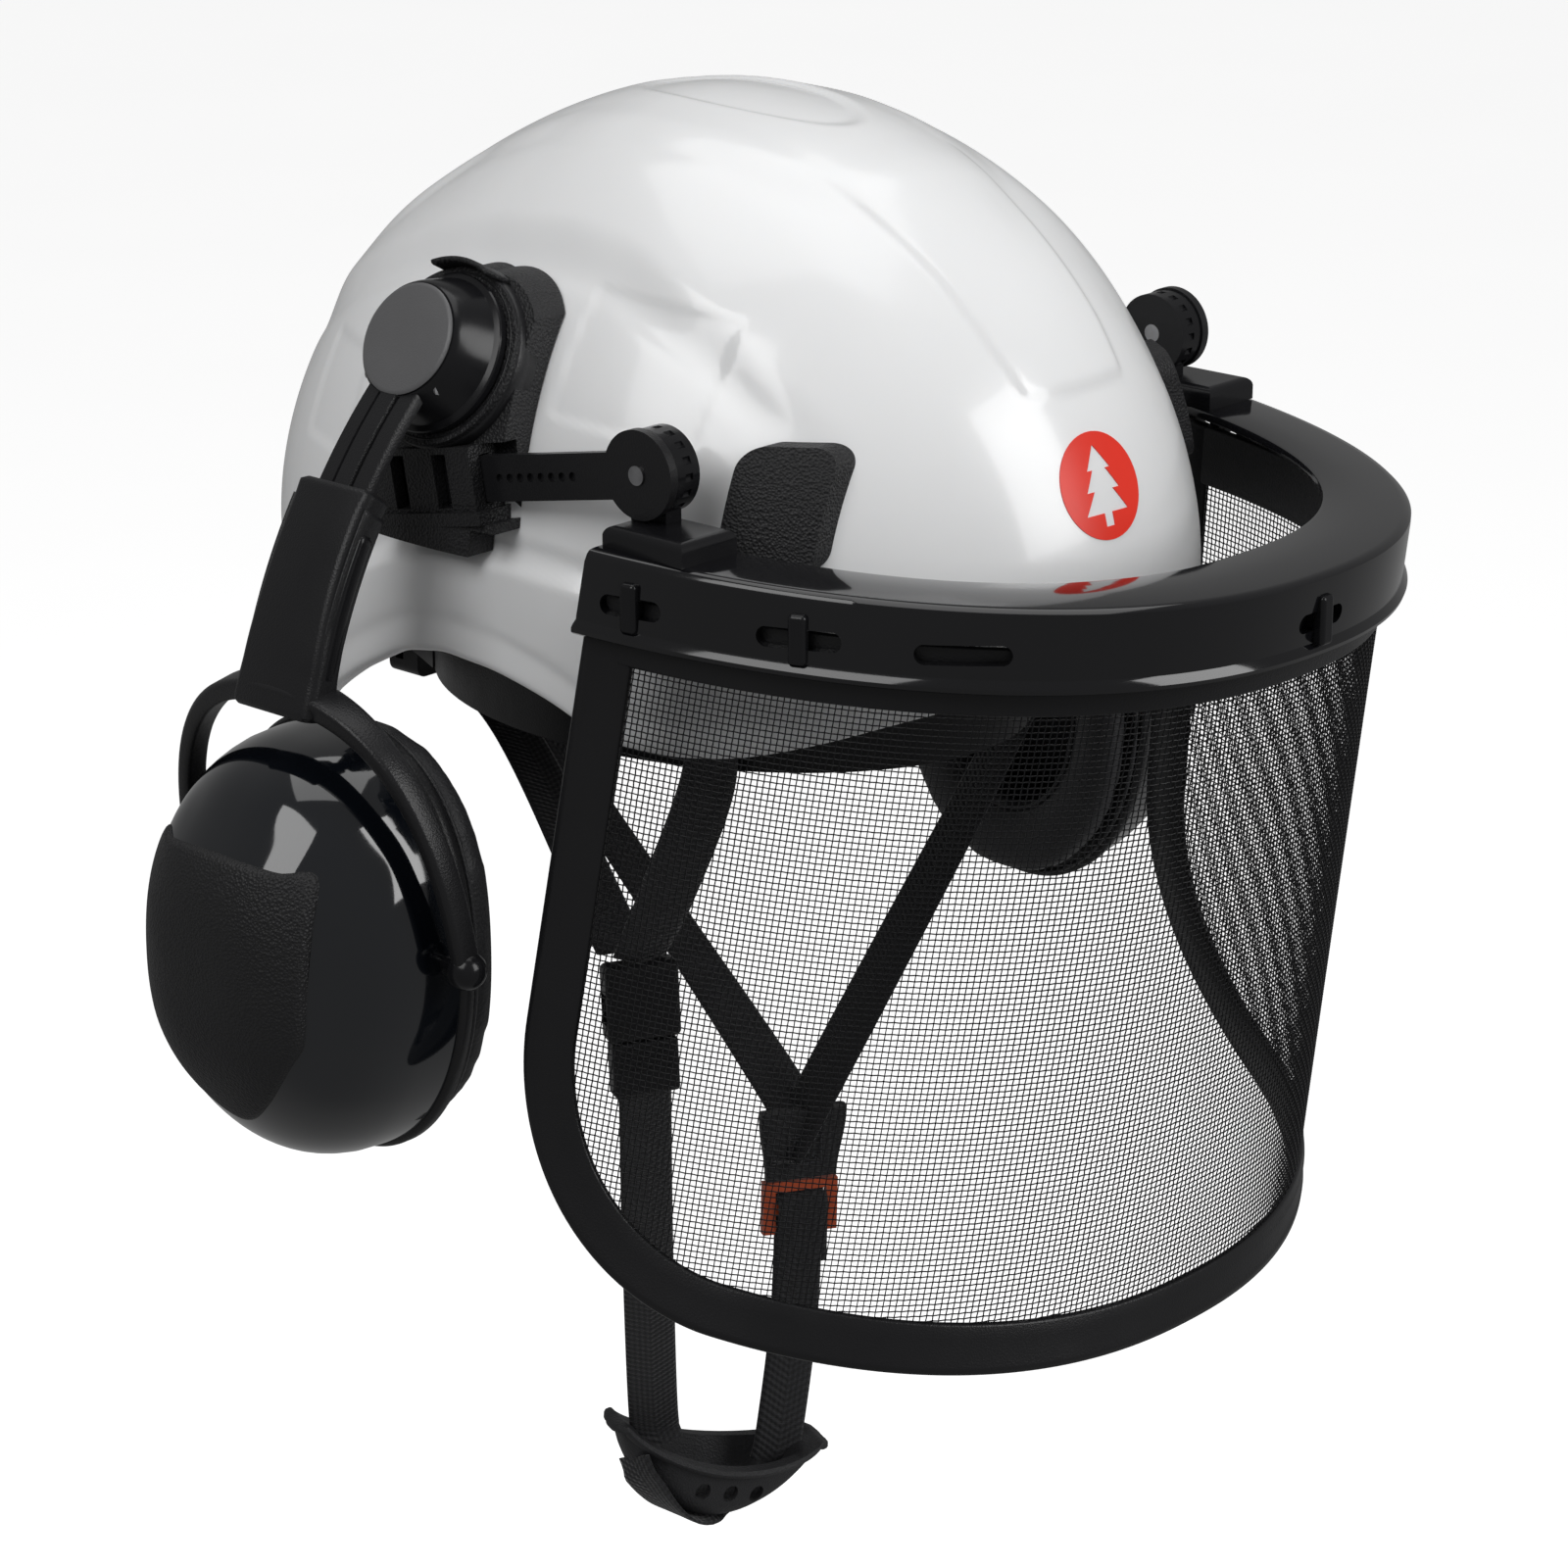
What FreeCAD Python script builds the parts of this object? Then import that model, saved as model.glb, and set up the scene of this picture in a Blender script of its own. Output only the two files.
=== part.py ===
import FreeCAD, Part
import math
import os

# Arborist helmet: hard shell with foam liner and cradle, ratchet headband, four-point harness,
# slot-mounted ear muffs on spring arms, and a flip-up mesh visor.
# Frame: origin at the centre of the shell at brim height, +Z up, front of the helmet towards -Y,
# wearer's right towards -X. Millimetres.

V = FreeCAD.Vector
X_AXIS = V(1, 0, 0)
Y_AXIS = V(0, 1, 0)
Z_AXIS = V(0, 0, 1)
ORIGIN = V(0, 0, 0)
FAR = 400.0                       # reach of every cutting block

# ---- shell and lining -------------------------------------------------------------------------
SHELL_X, SHELL_Y, SHELL_Z = 108.25, 142.0, 126.0
SHELL_WALL = 3.0
LINER_WALL = 14.0
LINER_BOTTOM = 8.0
CRADLE_WIDTH = 20.0
CRADLE_THICK = 1.4
CRADLE_BOTTOM = -8.0
ANCHOR_X, ANCHOR_Y = 75.0, 66.0

# ---- headband ---------------------------------------------------------------------------------
BAND_X, BAND_Y = 72.0, 93.0
BAND_LOW, BAND_HIGH = -42.0, -18.0
BAND_THICK = 2.2
RACK_Y = 99.0                     # rear face line where the two rack tails cross
RACK_Z = -40.0
RACK_SPAN = 34.0
PINION_R = 4.0
TOOTH_PITCH = 2.0 * math.pi * PINION_R / 12.0

# ---- accessory mounts and visor ---------------------------------------------------------------
MOUNT_Y = 4.0
MOUNT_PROUD = 9.0
BOSS_R = 24.0
HUB_AT = V(-104.0, MOUNT_Y, 69.0)
HUB_TILT = math.radians(28.0)
RAIL_SLOPE = math.radians(11.0)
RAIL_OUT, RAIL_IN = 113.5, 103.0
RAIL_LOW, RAIL_HIGH = 7.8, 9.0    # the block's reach below and above the rail's centre line
ARM_OUT, ARM_THICK, ARM_TALL = 109.5, 2.6, 12.0
PIVOT_Y, PIVOT_Z = -70.2, 51.4
PIVOT_DISC_R = 11.5
PIVOT_PIN_R = 2.5
PLATE_DROP = 17.5
RAIL_Z = PIVOT_Z - (MOUNT_Y - PIVOT_Y) * math.tan(RAIL_SLOPE)
PLATE_TILT = math.radians(2.5)
PLATE_THICK = 3.0
PLATE_END_Y = -65.0
OUTER_X, OUTER_DEPTH, OUTER_N = 124.7, 178.3, 2.23
INNER_X, INNER_DEPTH, INNER_N = 101.8, 152.2, 2.39
RIM_CENTRE_Y = -24.0
VISOR_LEAN = math.radians(11.0)
VISOR_DROP = 242.0
VISOR_FLARE = 0.100               # widening of the visor per millimetre of drop
VISOR_SHORTEN = 0.034             # loss of depth per millimetre of drop
VISOR_BACK = 0.114                # rearward shift of its centre per millimetre of drop
BAND_DROP = 22.0
FRAME_WIDTH = 14.5
FRAME_THICK = 3.6
MESH_THICK = 0.9

# ---- ear muffs --------------------------------------------------------------------------------
ARC_X, ARC_Z, ARC_R = -13.4, -47.4, 153.4     # centre and radius of the curved spring arm
PIN_ANGLE, ARM_END, SLEEVE_TOP, SLEEVE_END = 47.0, 23.0, 34.5, 14.0
ARM_WIDTH, ARM_DEPTH = 18.0, 3.6
KNUCKLE_R = 3.6
ARM_PIN_R = 1.5
SLEEVE_WIDTH, SLEEVE_DEPTH = 26.0, 9.0
CUP_Y, CUP_Z = MOUNT_Y + 1.0, -79.0
CUSHION_IN, CUSHION_OUT, RING_OUT, CUP_OUT = 126.0, 139.5, 144.0, 193.0
CUP_HALF_Y, CUP_HALF_Z = 43.5, 58.0
CUP_WALL = 2.6
EAR_HALF_Y, EAR_HALF_Z = 21.0, 31.0
YOKE_PIN_X, YOKE_PIN_Z = -148.5, -75.0
YOKE_HALF_Y = 50.0

# ---- harness ----------------------------------------------------------------------------------
WEB_WIDTH, WEB_THICK = 15.0, 1.5
CLEAR = 0.3                       # gap between parts that move past each other


# ---- helpers ----------------------------------------------------------------------------------
def block(x0, x1, y0, y1, z0, z1):
    return Part.makeBox(x1 - x0, y1 - y0, z1 - z0, V(x0, y0, z0))


def ellipsoid(a, b, c):
    scale = FreeCAD.Matrix()
    scale.scale(V(a, b, c))
    return Part.makeSphere(1.0).transformGeometry(scale)


def shell_offset(gap):
    return ellipsoid(SHELL_X + gap, SHELL_Y + gap, SHELL_Z + gap)


def cylinder(start, axis, radius, length):
    return Part.makeCylinder(radius, length, start, axis)


def line(a, b):
    return Part.LineSegment(a, b).toShape()


def arc(a, b, c):
    return Part.Arc(a, b, c).toShape()


def polygon(points):
    return Part.Face(Part.makePolygon(points + [points[0]]))


def across(edges, half_width):
    """Side-view outline (in the Y-Z plane) carried across the helmet."""
    face = Part.Face(Part.Wire(edges))
    face.translate(V(-half_width, 0, 0))
    return face.extrude(V(2.0 * half_width, 0, 0))


def mirrored(shape):
    return shape.mirror(ORIGIN, X_AXIS)


def rounded(shape, radius, pick=None):
    """Round the chosen edges, or leave the shape alone if they can't take the radius."""
    edges = [e for e in shape.Edges if pick is None or pick(e)]
    try:
        result = shape.makeFillet(radius, edges)
        if result.isValid() and result.Volume > 0:
            return result
    except Exception:
        pass
    return shape


def ellipse_plate(x0, x1, y, z, half_y, half_z):
    """Elliptical plate facing sideways, from x0 to x1."""
    scale = FreeCAD.Matrix()
    scale.scale(V(1.0, half_y, half_z))
    plate = cylinder(V(x0, 0, 0), X_AXIS, 1.0, x1 - x0).transformGeometry(scale)
    plate.translate(V(0, y, z))
    return plate


def ribbon(points, sides, width=WEB_WIDTH, thick=WEB_THICK):
    """Flat webbing through points; sides holds the webbing's width direction at each point."""
    wires = []
    for i, point in enumerate(points):
        ahead = points[min(i + 1, len(points) - 1)] - points[max(i - 1, 0)]
        ahead.normalize()
        side = sides[i] - ahead * sides[i].dot(ahead)
        side.normalize()
        normal = ahead.cross(side)
        half, rise = side * (width / 2.0), normal * (thick / 2.0)
        corners = [point + half + rise, point - half + rise, point - half - rise, point + half - rise]
        wires.append(Part.makePolygon(corners + [corners[0]]))
    return Part.makeLoft(wires, True, True)


def save(name, shape):
    solids = shape.Solids
    result = solids[0] if len(solids) == 1 else Part.makeCompound(solids)
    result.exportStep("parts/" + name + ".step")
    print("%-22s solids %2d  volume %10.1f mm3  valid %s"
          % (name, len(solids), result.Volume, result.isValid()))


# ---- shell, liner and cradle ------------------------------------------------------------------
def brim_cutter():
    """Everything below the brim line: raised brow, temple lobe, ear arch, deep nape."""
    edges = [
        arc(V(0, -160, 2), V(0, -118, -13.5), V(0, -70, -26)),
        arc(V(0, -70, -26), V(0, -50, -23.2), V(0, -36, -14.5)),
        arc(V(0, -36, -14.5), V(0, 0, -6.5), V(0, 40, -21.5)),
        line(V(0, 40, -21.5), V(0, 86, -47)),
        line(V(0, 86, -47), V(0, 160, -54)),
        line(V(0, 160, -54), V(0, 160, -160)),
        line(V(0, 160, -160), V(0, -160, -160)),
        line(V(0, -160, -160), V(0, -160, 2)),
    ]
    return across(edges, 130.0)


def vent(y, z, length, width, lean):
    """Slot through the side of the shell, leaning by the given angle from vertical."""
    slot = block(-FAR, 0, -width / 2, width / 2, -length / 2, length / 2)
    slot = rounded(slot, width / 2.2, lambda e: abs(e.Vertexes[0].Y - e.Vertexes[-1].Y) < 1e-6
                   and abs(e.Vertexes[0].Z - e.Vertexes[-1].Z) < 1e-6)
    slot.rotate(ORIGIN, X_AXIS, lean)
    slot.translate(V(0, y, z))
    return slot


def make_shell():
    shell = shell_offset(0).cut(shell_offset(-SHELL_WALL)).cut(brim_cutter())
    for y, z, lean in ((-45, 67, 45), (-12, 76, 20), (65, 45, -30)):
        slot = vent(y, z, 14.0, 3.5, lean)
        shell = shell.cut(slot).cut(mirrored(slot))
    return shell


def make_liner():
    gap = -SHELL_WALL
    liner = shell_offset(gap).cut(shell_offset(gap - LINER_WALL))
    return liner.cut(block(-FAR, FAR, -FAR, FAR, -FAR, LINER_BOTTOM))


def make_cradle():
    gap = -SHELL_WALL - LINER_WALL - 1.5
    skin = shell_offset(gap).cut(shell_offset(gap - CRADLE_THICK))
    angle = math.degrees(math.atan2(ANCHOR_Y, ANCHOR_X))
    slabs = []
    for turn in (angle, -angle):
        slab = block(-FAR, FAR, -CRADLE_WIDTH / 2, CRADLE_WIDTH / 2, CRADLE_BOTTOM, FAR)
        slab.rotate(ORIGIN, Z_AXIS, turn)
        slabs.append(slab)
    return skin.common(slabs[0].fuse(slabs[1]))


def make_anchors(cradle):
    """Four clips that hold the cradle ends to the inside of the shell."""
    clips = []
    for sx in (-1, 1):
        for sy in (-1, 1):
            turn = math.degrees(math.atan2(sy * ANCHOR_Y, sx * ANCHOR_X))
            clip = block(88, FAR, -12, 12, CRADLE_BOTTOM - 8, LINER_BOTTOM - 1)
            clip.rotate(ORIGIN, Z_AXIS, turn)
            clips.append(clip.common(shell_offset(-SHELL_WALL)).cut(cradle))
    return Part.makeCompound(clips)


def make_nape_hanger():
    bar = block(-22, 22, 117, FAR, -50, -42).common(shell_offset(-SHELL_WALL))
    return bar.cut(brim_cutter())


# ---- headband and ratchet ---------------------------------------------------------------------
def band_ring(inset, thick, low, high):
    outer = Part.Face(Part.Wire(Part.Ellipse(V(0, BAND_Y - inset, 0), V(BAND_X - inset, 0, 0), ORIGIN).toShape()))
    inner = Part.Face(Part.Wire(Part.Ellipse(
        V(0, BAND_Y - inset - thick, 0), V(BAND_X - inset - thick, 0, 0), ORIGIN).toShape()))
    ring = outer.cut(inner).extrude(V(0, 0, high - low))
    ring.translate(V(0, 0, low))
    return ring


def make_headband():
    ring = band_ring(0, BAND_THICK, BAND_LOW, BAND_HIGH)
    gap = block(-46, 46, 40, FAR, -FAR, FAR)
    lugs = []
    for sx in (-1, 1):
        for sy in (-1, 1):
            turn = math.degrees(math.atan2(sy * ANCHOR_Y, sx * ANCHOR_X))
            lug = block(60, 88.5, -4, 4, BAND_HIGH - 4, BAND_HIGH)
            lug.rotate(ORIGIN, Z_AXIS, turn)
            lugs.append(lug.cut(band_ring(0, 30, -FAR, FAR)))
    ends = []
    for sx in (-1, 1):
        plan = [V(sx * 46.5, 68.6, 0), V(sx * 48.0, 70.2, 0), V(sx * 36.2, 95.5, 0), V(sx * 34.0, 95.5, 0),
                V(sx * 34.0, 92.0, 0)]
        tail = polygon(plan).extrude(V(0, 0, 12))
        tail.translate(V(0, 0, BAND_LOW))
        ends.append(tail)
    return ring.cut(gap).fuse(lugs + ends)


def make_sweatband():
    pad = band_ring(BAND_THICK, 5.0, BAND_LOW + 1, BAND_HIGH - 1)
    return pad.cut(block(-FAR, FAR, -45, FAR, -FAR, FAR))


def make_nape_pad():
    pad = block(-24, 24, RACK_Y - 13.5, RACK_Y - 7.5, RACK_Z - 13, RACK_Z + 9)
    return rounded(pad, 2.4)


def make_rack_tail(side):
    """Toothed strip: the right tail runs above the pinion and the left one below it."""
    top = side < 0
    z0 = RACK_Z + PINION_R + 0.9 if top else RACK_Z - PINION_R - 0.9 - 3.0
    z1 = z0 + 3.0
    inner_end = 14.0
    strip = block(-RACK_SPAN - 14.0, inner_end, RACK_Y - 1.2, RACK_Y + 1.2, z0, z1)
    teeth = []
    count = 12
    for i in range(count):
        x = (i - count / 2.0 + 0.5) * TOOTH_PITCH
        base = z0 if top else z1
        tip = base - 1.2 if top else base + 1.2
        teeth.append(polygon([V(x - 0.55, RACK_Y - 1.2, base), V(x + 0.55, RACK_Y - 1.2, base),
                              V(x + 0.2, RACK_Y - 1.2, tip), V(x - 0.2, RACK_Y - 1.2, tip)])
                     .extrude(V(0, 2.4, 0)))
    strip = strip.fuse(teeth).removeSplitter()
    return strip if side < 0 else strip.mirror(ORIGIN, X_AXIS)


def make_pinion():
    gear = cylinder(V(0, RACK_Y - 1.2, RACK_Z), Y_AXIS, PINION_R - 1.0, 2.4)
    teeth = []
    for i in range(12):
        tooth = polygon([V(-0.5, RACK_Y - 1.2, PINION_R - 1.4), V(0.5, RACK_Y - 1.2, PINION_R - 1.4),
                         V(0.2, RACK_Y - 1.2, PINION_R + 0.3), V(-0.2, RACK_Y - 1.2, PINION_R + 0.3)])
        tooth = tooth.extrude(V(0, 2.4, 0))
        tooth.rotate(ORIGIN, Y_AXIS, 30.0 * i)
        tooth.translate(V(0, 0, RACK_Z))
        teeth.append(tooth)
    stem = cylinder(V(0, RACK_Y + 1.2, RACK_Z), Y_AXIS, 2.5, 8.0)
    return gear.fuse(teeth + [stem]).removeSplitter()


def make_ratchet_case():
    """Open-backed tray between nape pad and cover, with a channel for the two tails."""
    y0, y1 = RACK_Y - 7.5, RACK_Y + 1.6
    case = rounded(block(-RACK_SPAN, RACK_SPAN, y0, y1, RACK_Z - 13, RACK_Z + 12), 3.0,
                   lambda e: abs(e.Vertexes[0].Y - e.Vertexes[-1].Y) > 1.0)
    case = case.cut(block(-FAR, FAR, RACK_Y - 1.6, FAR, RACK_Z - 8.4, RACK_Z + 8.4))
    return case


def make_ratchet_cover():
    y0, y1 = RACK_Y + 1.6, RACK_Y + 4.2
    cover = rounded(block(-RACK_SPAN, RACK_SPAN, y0, y1, RACK_Z - 13, RACK_Z + 12), 3.0,
                    lambda e: abs(e.Vertexes[0].Y - e.Vertexes[-1].Y) > 1.0)
    return cover.cut(cylinder(V(0, y0 - 1, RACK_Z), Y_AXIS, 2.55, 6))


def make_knob():
    y0 = RACK_Y + 4.5
    knob = cylinder(V(0, y0, RACK_Z), Y_AXIS, 12.5, 4.4)
    for i in range(12):
        groove = cylinder(V(13.6, y0 - 1, 0), Y_AXIS, 1.9, 8)
        groove.rotate(ORIGIN, Y_AXIS, 30.0 * i)
        groove.translate(V(0, 0, RACK_Z))
        knob = knob.cut(groove)
    return knob.cut(cylinder(V(0, y0 - 1, RACK_Z), Y_AXIS, 2.5, 5.7))


# ---- lamp clips -------------------------------------------------------------------------------
def make_lamp_clips():
    """Tongue clips on the shell's temples."""
    prism = block(-FAR, 0, -101, -80, 24, 55.5)
    prism = rounded(prism, 6.0, lambda e: abs(e.Vertexes[0].X - e.Vertexes[-1].X) > 10)
    pad = shell_offset(5.0).cut(shell_offset(0)).common(prism)
    return Part.makeCompound([pad, mirrored(pad)])


# ---- muff and visor mount ---------------------------------------------------------------------
def hub_axis():
    return V(-math.cos(HUB_TILT), 0, math.sin(HUB_TILT))


def hub_down():
    return V(-math.sin(HUB_TILT), 0, -math.cos(HUB_TILT))


def hub_block(n0, n1, down0, down1, half_y):
    """Block in the hub's own frame: along its axis, down its face, across in Y."""
    n, d = hub_axis(), hub_down()
    a = HUB_AT + n * n0 + d * down0 - Y_AXIS * half_y
    b = a + d * (down1 - down0)
    face = polygon([a, b, b + n * (n1 - n0), a + n * (n1 - n0)])
    return face.extrude(V(0, 2 * half_y, 0))


def on_rail(y0, y1, z0, z1, x0, x1):
    """Block along the sloping rail; heights are measured from the rail's centre line."""
    shape = block(x0, x1, y0, y1, z0, z1)
    shape.translate(V(0, 0, RAIL_Z))
    shape.rotate(V(0, MOUNT_Y, RAIL_Z), X_AXIS, -math.degrees(RAIL_SLOPE))
    return shape


def arm_channel():
    half = ARM_TALL / 2.0 + CLEAR
    return on_rail(-FAR, MOUNT_Y + 16.5, -half, half, -ARM_OUT - CLEAR, -ARM_OUT + ARM_THICK + CLEAR)


def make_mount_base():
    shield = across([
        line(V(0, 27, 28), V(0, 27, 70)),
        arc(V(0, 27, 70), V(0, 20, 84), V(0, 4, 88)),
        arc(V(0, 4, 88), V(0, -10, 87), V(0, -19, 80)),
        line(V(0, -19, 80), V(0, -23, 28)),
        line(V(0, -23, 28), V(0, 27, 28)),
    ], FAR).common(block(-FAR, 0, -FAR, FAR, -FAR, FAR))
    foot = block(-FAR, 0, -15, 20, 21, 31)
    plate = shell_offset(MOUNT_PROUD).common(shield.fuse(foot))
    boss = cylinder(HUB_AT - hub_axis() * 20, hub_axis(), BOSS_R, 20)
    base = plate.fuse(boss).cut(shell_offset(0))
    base = base.cut(cylinder(HUB_AT - hub_axis() * 30, hub_axis(), 4.0, 60))
    return base.cut(on_rail(-40, 60, -RAIL_LOW - 3.5, RAIL_HIGH, -FAR, -RAIL_IN))


def make_rail_block():
    body = on_rail(MOUNT_Y - 20, MOUNT_Y + 19, -RAIL_LOW, RAIL_HIGH, -RAIL_OUT, -RAIL_IN)
    flange = on_rail(MOUNT_Y - 22, MOUNT_Y + 21, -RAIL_LOW - 3.5, -RAIL_LOW, -RAIL_OUT - 1.5, -RAIL_IN)
    body = body.fuse(flange).removeSplitter().cut(shell_offset(0))
    for y in (MOUNT_Y - 8.5, MOUNT_Y + 7.5):
        body = body.cut(on_rail(y - 2.6, y + 2.6, -6.8, 7.2, -FAR, -ARM_OUT + 0.1))
    return body.cut(arm_channel())


def make_visor_arm():
    half = ARM_TALL / 2.0
    arm = on_rail(PIVOT_Y + 6, MOUNT_Y + 8, -half, half, -ARM_OUT, -ARM_OUT + ARM_THICK)
    disc = cylinder(V(-ARM_OUT, PIVOT_Y, PIVOT_Z), X_AXIS, PIVOT_DISC_R, ARM_THICK)
    arm = arm.fuse(disc).removeSplitter()
    for i in range(8):
        reach = 26.0 + 3.8 * i
        y = MOUNT_Y - reach * math.cos(RAIL_SLOPE)
        z = RAIL_Z + reach * math.sin(RAIL_SLOPE)
        arm = arm.cut(cylinder(V(-ARM_OUT - 1, y, z), X_AXIS, 1.2, 2.0))
    return arm.cut(cylinder(V(-ARM_OUT - 1, PIVOT_Y, PIVOT_Z), X_AXIS, PIVOT_PIN_R + 0.05, ARM_THICK + 2))


def make_hub_axle():
    return cylinder(HUB_AT - hub_axis() * 8, hub_axis(), 3.9, 12.0)


# ---- visor ------------------------------------------------------------------------------------
def plate_z(y):
    return PIVOT_Z - PLATE_DROP + (y - PIVOT_Y) * math.tan(PLATE_TILT)


def rim_points(half_x, depth, exponent, centre_y, end_y, count=17):
    """Superellipse U, from the right leg's end round the front to the left leg's end."""
    start = math.asin(((centre_y - end_y) / depth) ** (exponent / 2.0))
    points = []
    for i in range(count):
        t = start + (math.pi - 2.0 * start) * i / (count - 1)
        c, s = math.cos(t), math.sin(t)
        x = -math.copysign(abs(c) ** (2.0 / exponent), c) * half_x
        y = centre_y - depth * s ** (2.0 / exponent)
        points.append((x, y))
    return points


def smooth(points):
    curve = Part.BSplineCurve()
    curve.interpolate(points)
    return curve.toShape()


def visor_section(drop, outward):
    """Edge of the visor sheet at a distance down its generators, moved outward by an offset."""
    depth = OUTER_DEPTH - VISOR_SHORTEN * drop
    centre = RIM_CENTRE_Y + VISOR_BACK * drop
    end = centre - (RIM_CENTRE_Y - PLATE_END_Y) / OUTER_DEPTH * depth
    flat = rim_points(OUTER_X + VISOR_FLARE * drop + outward, depth + outward, OUTER_N, centre, end)
    points = []
    for x, y in flat:
        top_y = (y - centre) * OUTER_DEPTH / depth + RIM_CENTRE_Y
        points.append(V(x, y, plate_z(top_y) - drop * math.cos(VISOR_LEAN)))
    return points


def visor_wall(drop0, drop1, outward0, outward1):
    """Curved wall between two drops and two offsets from the visor's nominal sheet."""
    wires = []
    for drop in (drop0, drop1):
        inner, outer = visor_section(drop, outward0), visor_section(drop, outward1)
        wires.append(Part.Wire([smooth(inner), line(inner[-1], outer[-1]),
                                smooth(outer[::-1]), line(outer[0], inner[0])]))
    return Part.makeLoft(wires, True, True)


def visor_outline(inset):
    """Side view of the visor: leaning rear edge, big lower corner, sill falling to the front."""
    i = inset
    top = V(0, -68.5 - i, 60.0)
    rear = V(0, -50.0 - i, -92.0)
    corner = V(0, -61.0 - 0.77 * i, -140.0 + 0.64 * i)
    sill = V(0, -98.0 - 0.35 * i, -169.0 + 0.94 * i)
    front = V(0, -172.0, -188.5 + 1.05 * i)
    low, high = V(0, -300.0, front.z), V(0, -300.0, 60.0)
    return across([line(top, rear), arc(rear, corner, sill), line(sill, front), line(front, low),
                   line(low, high), line(high, top)], 200.0)


def make_visor_frame():
    sheet = visor_wall(PLATE_THICK + 0.2, VISOR_DROP, -3.0 - FRAME_THICK, -3.0)
    border = sheet.common(visor_outline(0))
    window = visor_outline(FRAME_WIDTH).cut(top_zone(30.0))
    return border.cut(window)


def top_zone(drop):
    """Everything above a given drop of the visor sheet."""
    y0, y1 = -260.0, 0.0
    z0 = plate_z(y0) - drop * math.cos(VISOR_LEAN)
    z1 = plate_z(y1) - drop * math.cos(VISOR_LEAN)
    face = polygon([V(-200, y0, z0), V(-200, y1, z1), V(-200, y1, 200), V(-200, y0, 200)])
    return face.extrude(V(400, 0, 0))


def make_visor_mesh():
    middle = -3.0 - FRAME_THICK / 2.0
    sheet = visor_wall(20.0, VISOR_DROP, middle - MESH_THICK / 2.0, middle + MESH_THICK / 2.0)
    return sheet.common(visor_outline(FRAME_WIDTH).cut(top_zone(30.0)))


def make_carrier():
    """U-shaped peak with a slotted band hanging from its outer edge."""
    outer = rim_points(OUTER_X, OUTER_DEPTH, OUTER_N, RIM_CENTRE_Y, PLATE_END_Y)
    inner = rim_points(INNER_X, INNER_DEPTH, INNER_N, RIM_CENTRE_Y, PLATE_END_Y)
    up = [V(x, y, plate_z(y)) for x, y in outer]
    low = [V(x, y, plate_z(y)) for x, y in inner]
    flat = Part.Wire([smooth(up), line(up[-1], low[-1]), smooth(low[::-1]), line(low[0], up[0])])
    face = Part.makeFilledFace(flat.Edges)
    plate = face.extrude(V(0, 0, -PLATE_THICK))
    band = visor_wall(PLATE_THICK, BAND_DROP, -2.9, 0.0)
    lip = visor_wall(BAND_DROP - 3.5, BAND_DROP, -2.9, 1.6)
    tabs = [block(x - 4, x + 4, PLATE_END_Y - 2, PLATE_END_Y + 3.5, plate_z(PLATE_END_Y) - PLATE_THICK + 0.2,
                  plate_z(PLATE_END_Y) - 0.4) for x in (-116, 116)]
    carrier = plate.fuse([band, lip] + tabs)
    for y, half in ((-81, 9), (-125, 11), (-160, 12)):
        for sx in (-1, 1):
            carrier = carrier.cut(slot_through_band(sx, y, half))
    return carrier.cut(slot_through_band(0, RIM_CENTRE_Y - OUTER_DEPTH, 9))


def band_normal(x, y):
    """Outward direction of the band at a point, in plan."""
    dx = abs(x / OUTER_X) ** (OUTER_N - 1) / OUTER_X
    dy = abs((y - RIM_CENTRE_Y) / OUTER_DEPTH) ** (OUTER_N - 1) / OUTER_DEPTH
    n = V(math.copysign(dx, x), -dy, 0)
    n.normalize()
    return n


def on_band(x, y):
    """The band's plan curve at the given y, on side x of -1, 0 or 1."""
    reach = max(0.0, 1.0 - abs((y - RIM_CENTRE_Y) / OUTER_DEPTH) ** OUTER_N) ** (1.0 / OUTER_N)
    return x * OUTER_X * reach, y


def slot_through_band(x, y, half, tall=2.6):
    bx, by = on_band(x, y)
    n = band_normal(bx, by)
    turn = math.degrees(math.atan2(n.y, n.x))
    slot = block(-8, 8, -half, half, -tall, tall)
    slot.rotate(ORIGIN, Z_AXIS, turn)
    slot.translate(V(bx, by + 2.5, plate_z(by) - 12.0))
    return slot


def make_pegs(carrier, frame):
    """Oblong heads that lock the visor frame to the band."""
    pegs = []
    front_y = RIM_CENTRE_Y - OUTER_DEPTH
    for sx, y in ((-1, -81), (1, -81), (-1, -125), (1, -125), (0, front_y)):
        bx, by = on_band(sx, y)
        n = band_normal(bx, by)
        head = rounded(block(-0.6, 3.0, -2.4, 2.4, -6.5, 6.5), 1.2)
        neck = block(-6.0, 0.6, -1.9, 1.9, -2.2, 2.2)
        peg = head.fuse(neck)
        peg.rotate(ORIGIN, Z_AXIS, math.degrees(math.atan2(n.y, n.x)))
        peg.translate(V(bx, by + 2.5, plate_z(by) - 12.0))
        peg = peg.cut(carrier).cut(frame)
        pegs.append(max(peg.Solids, key=lambda solid: solid.Volume))
    return Part.makeCompound(pegs)


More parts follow.
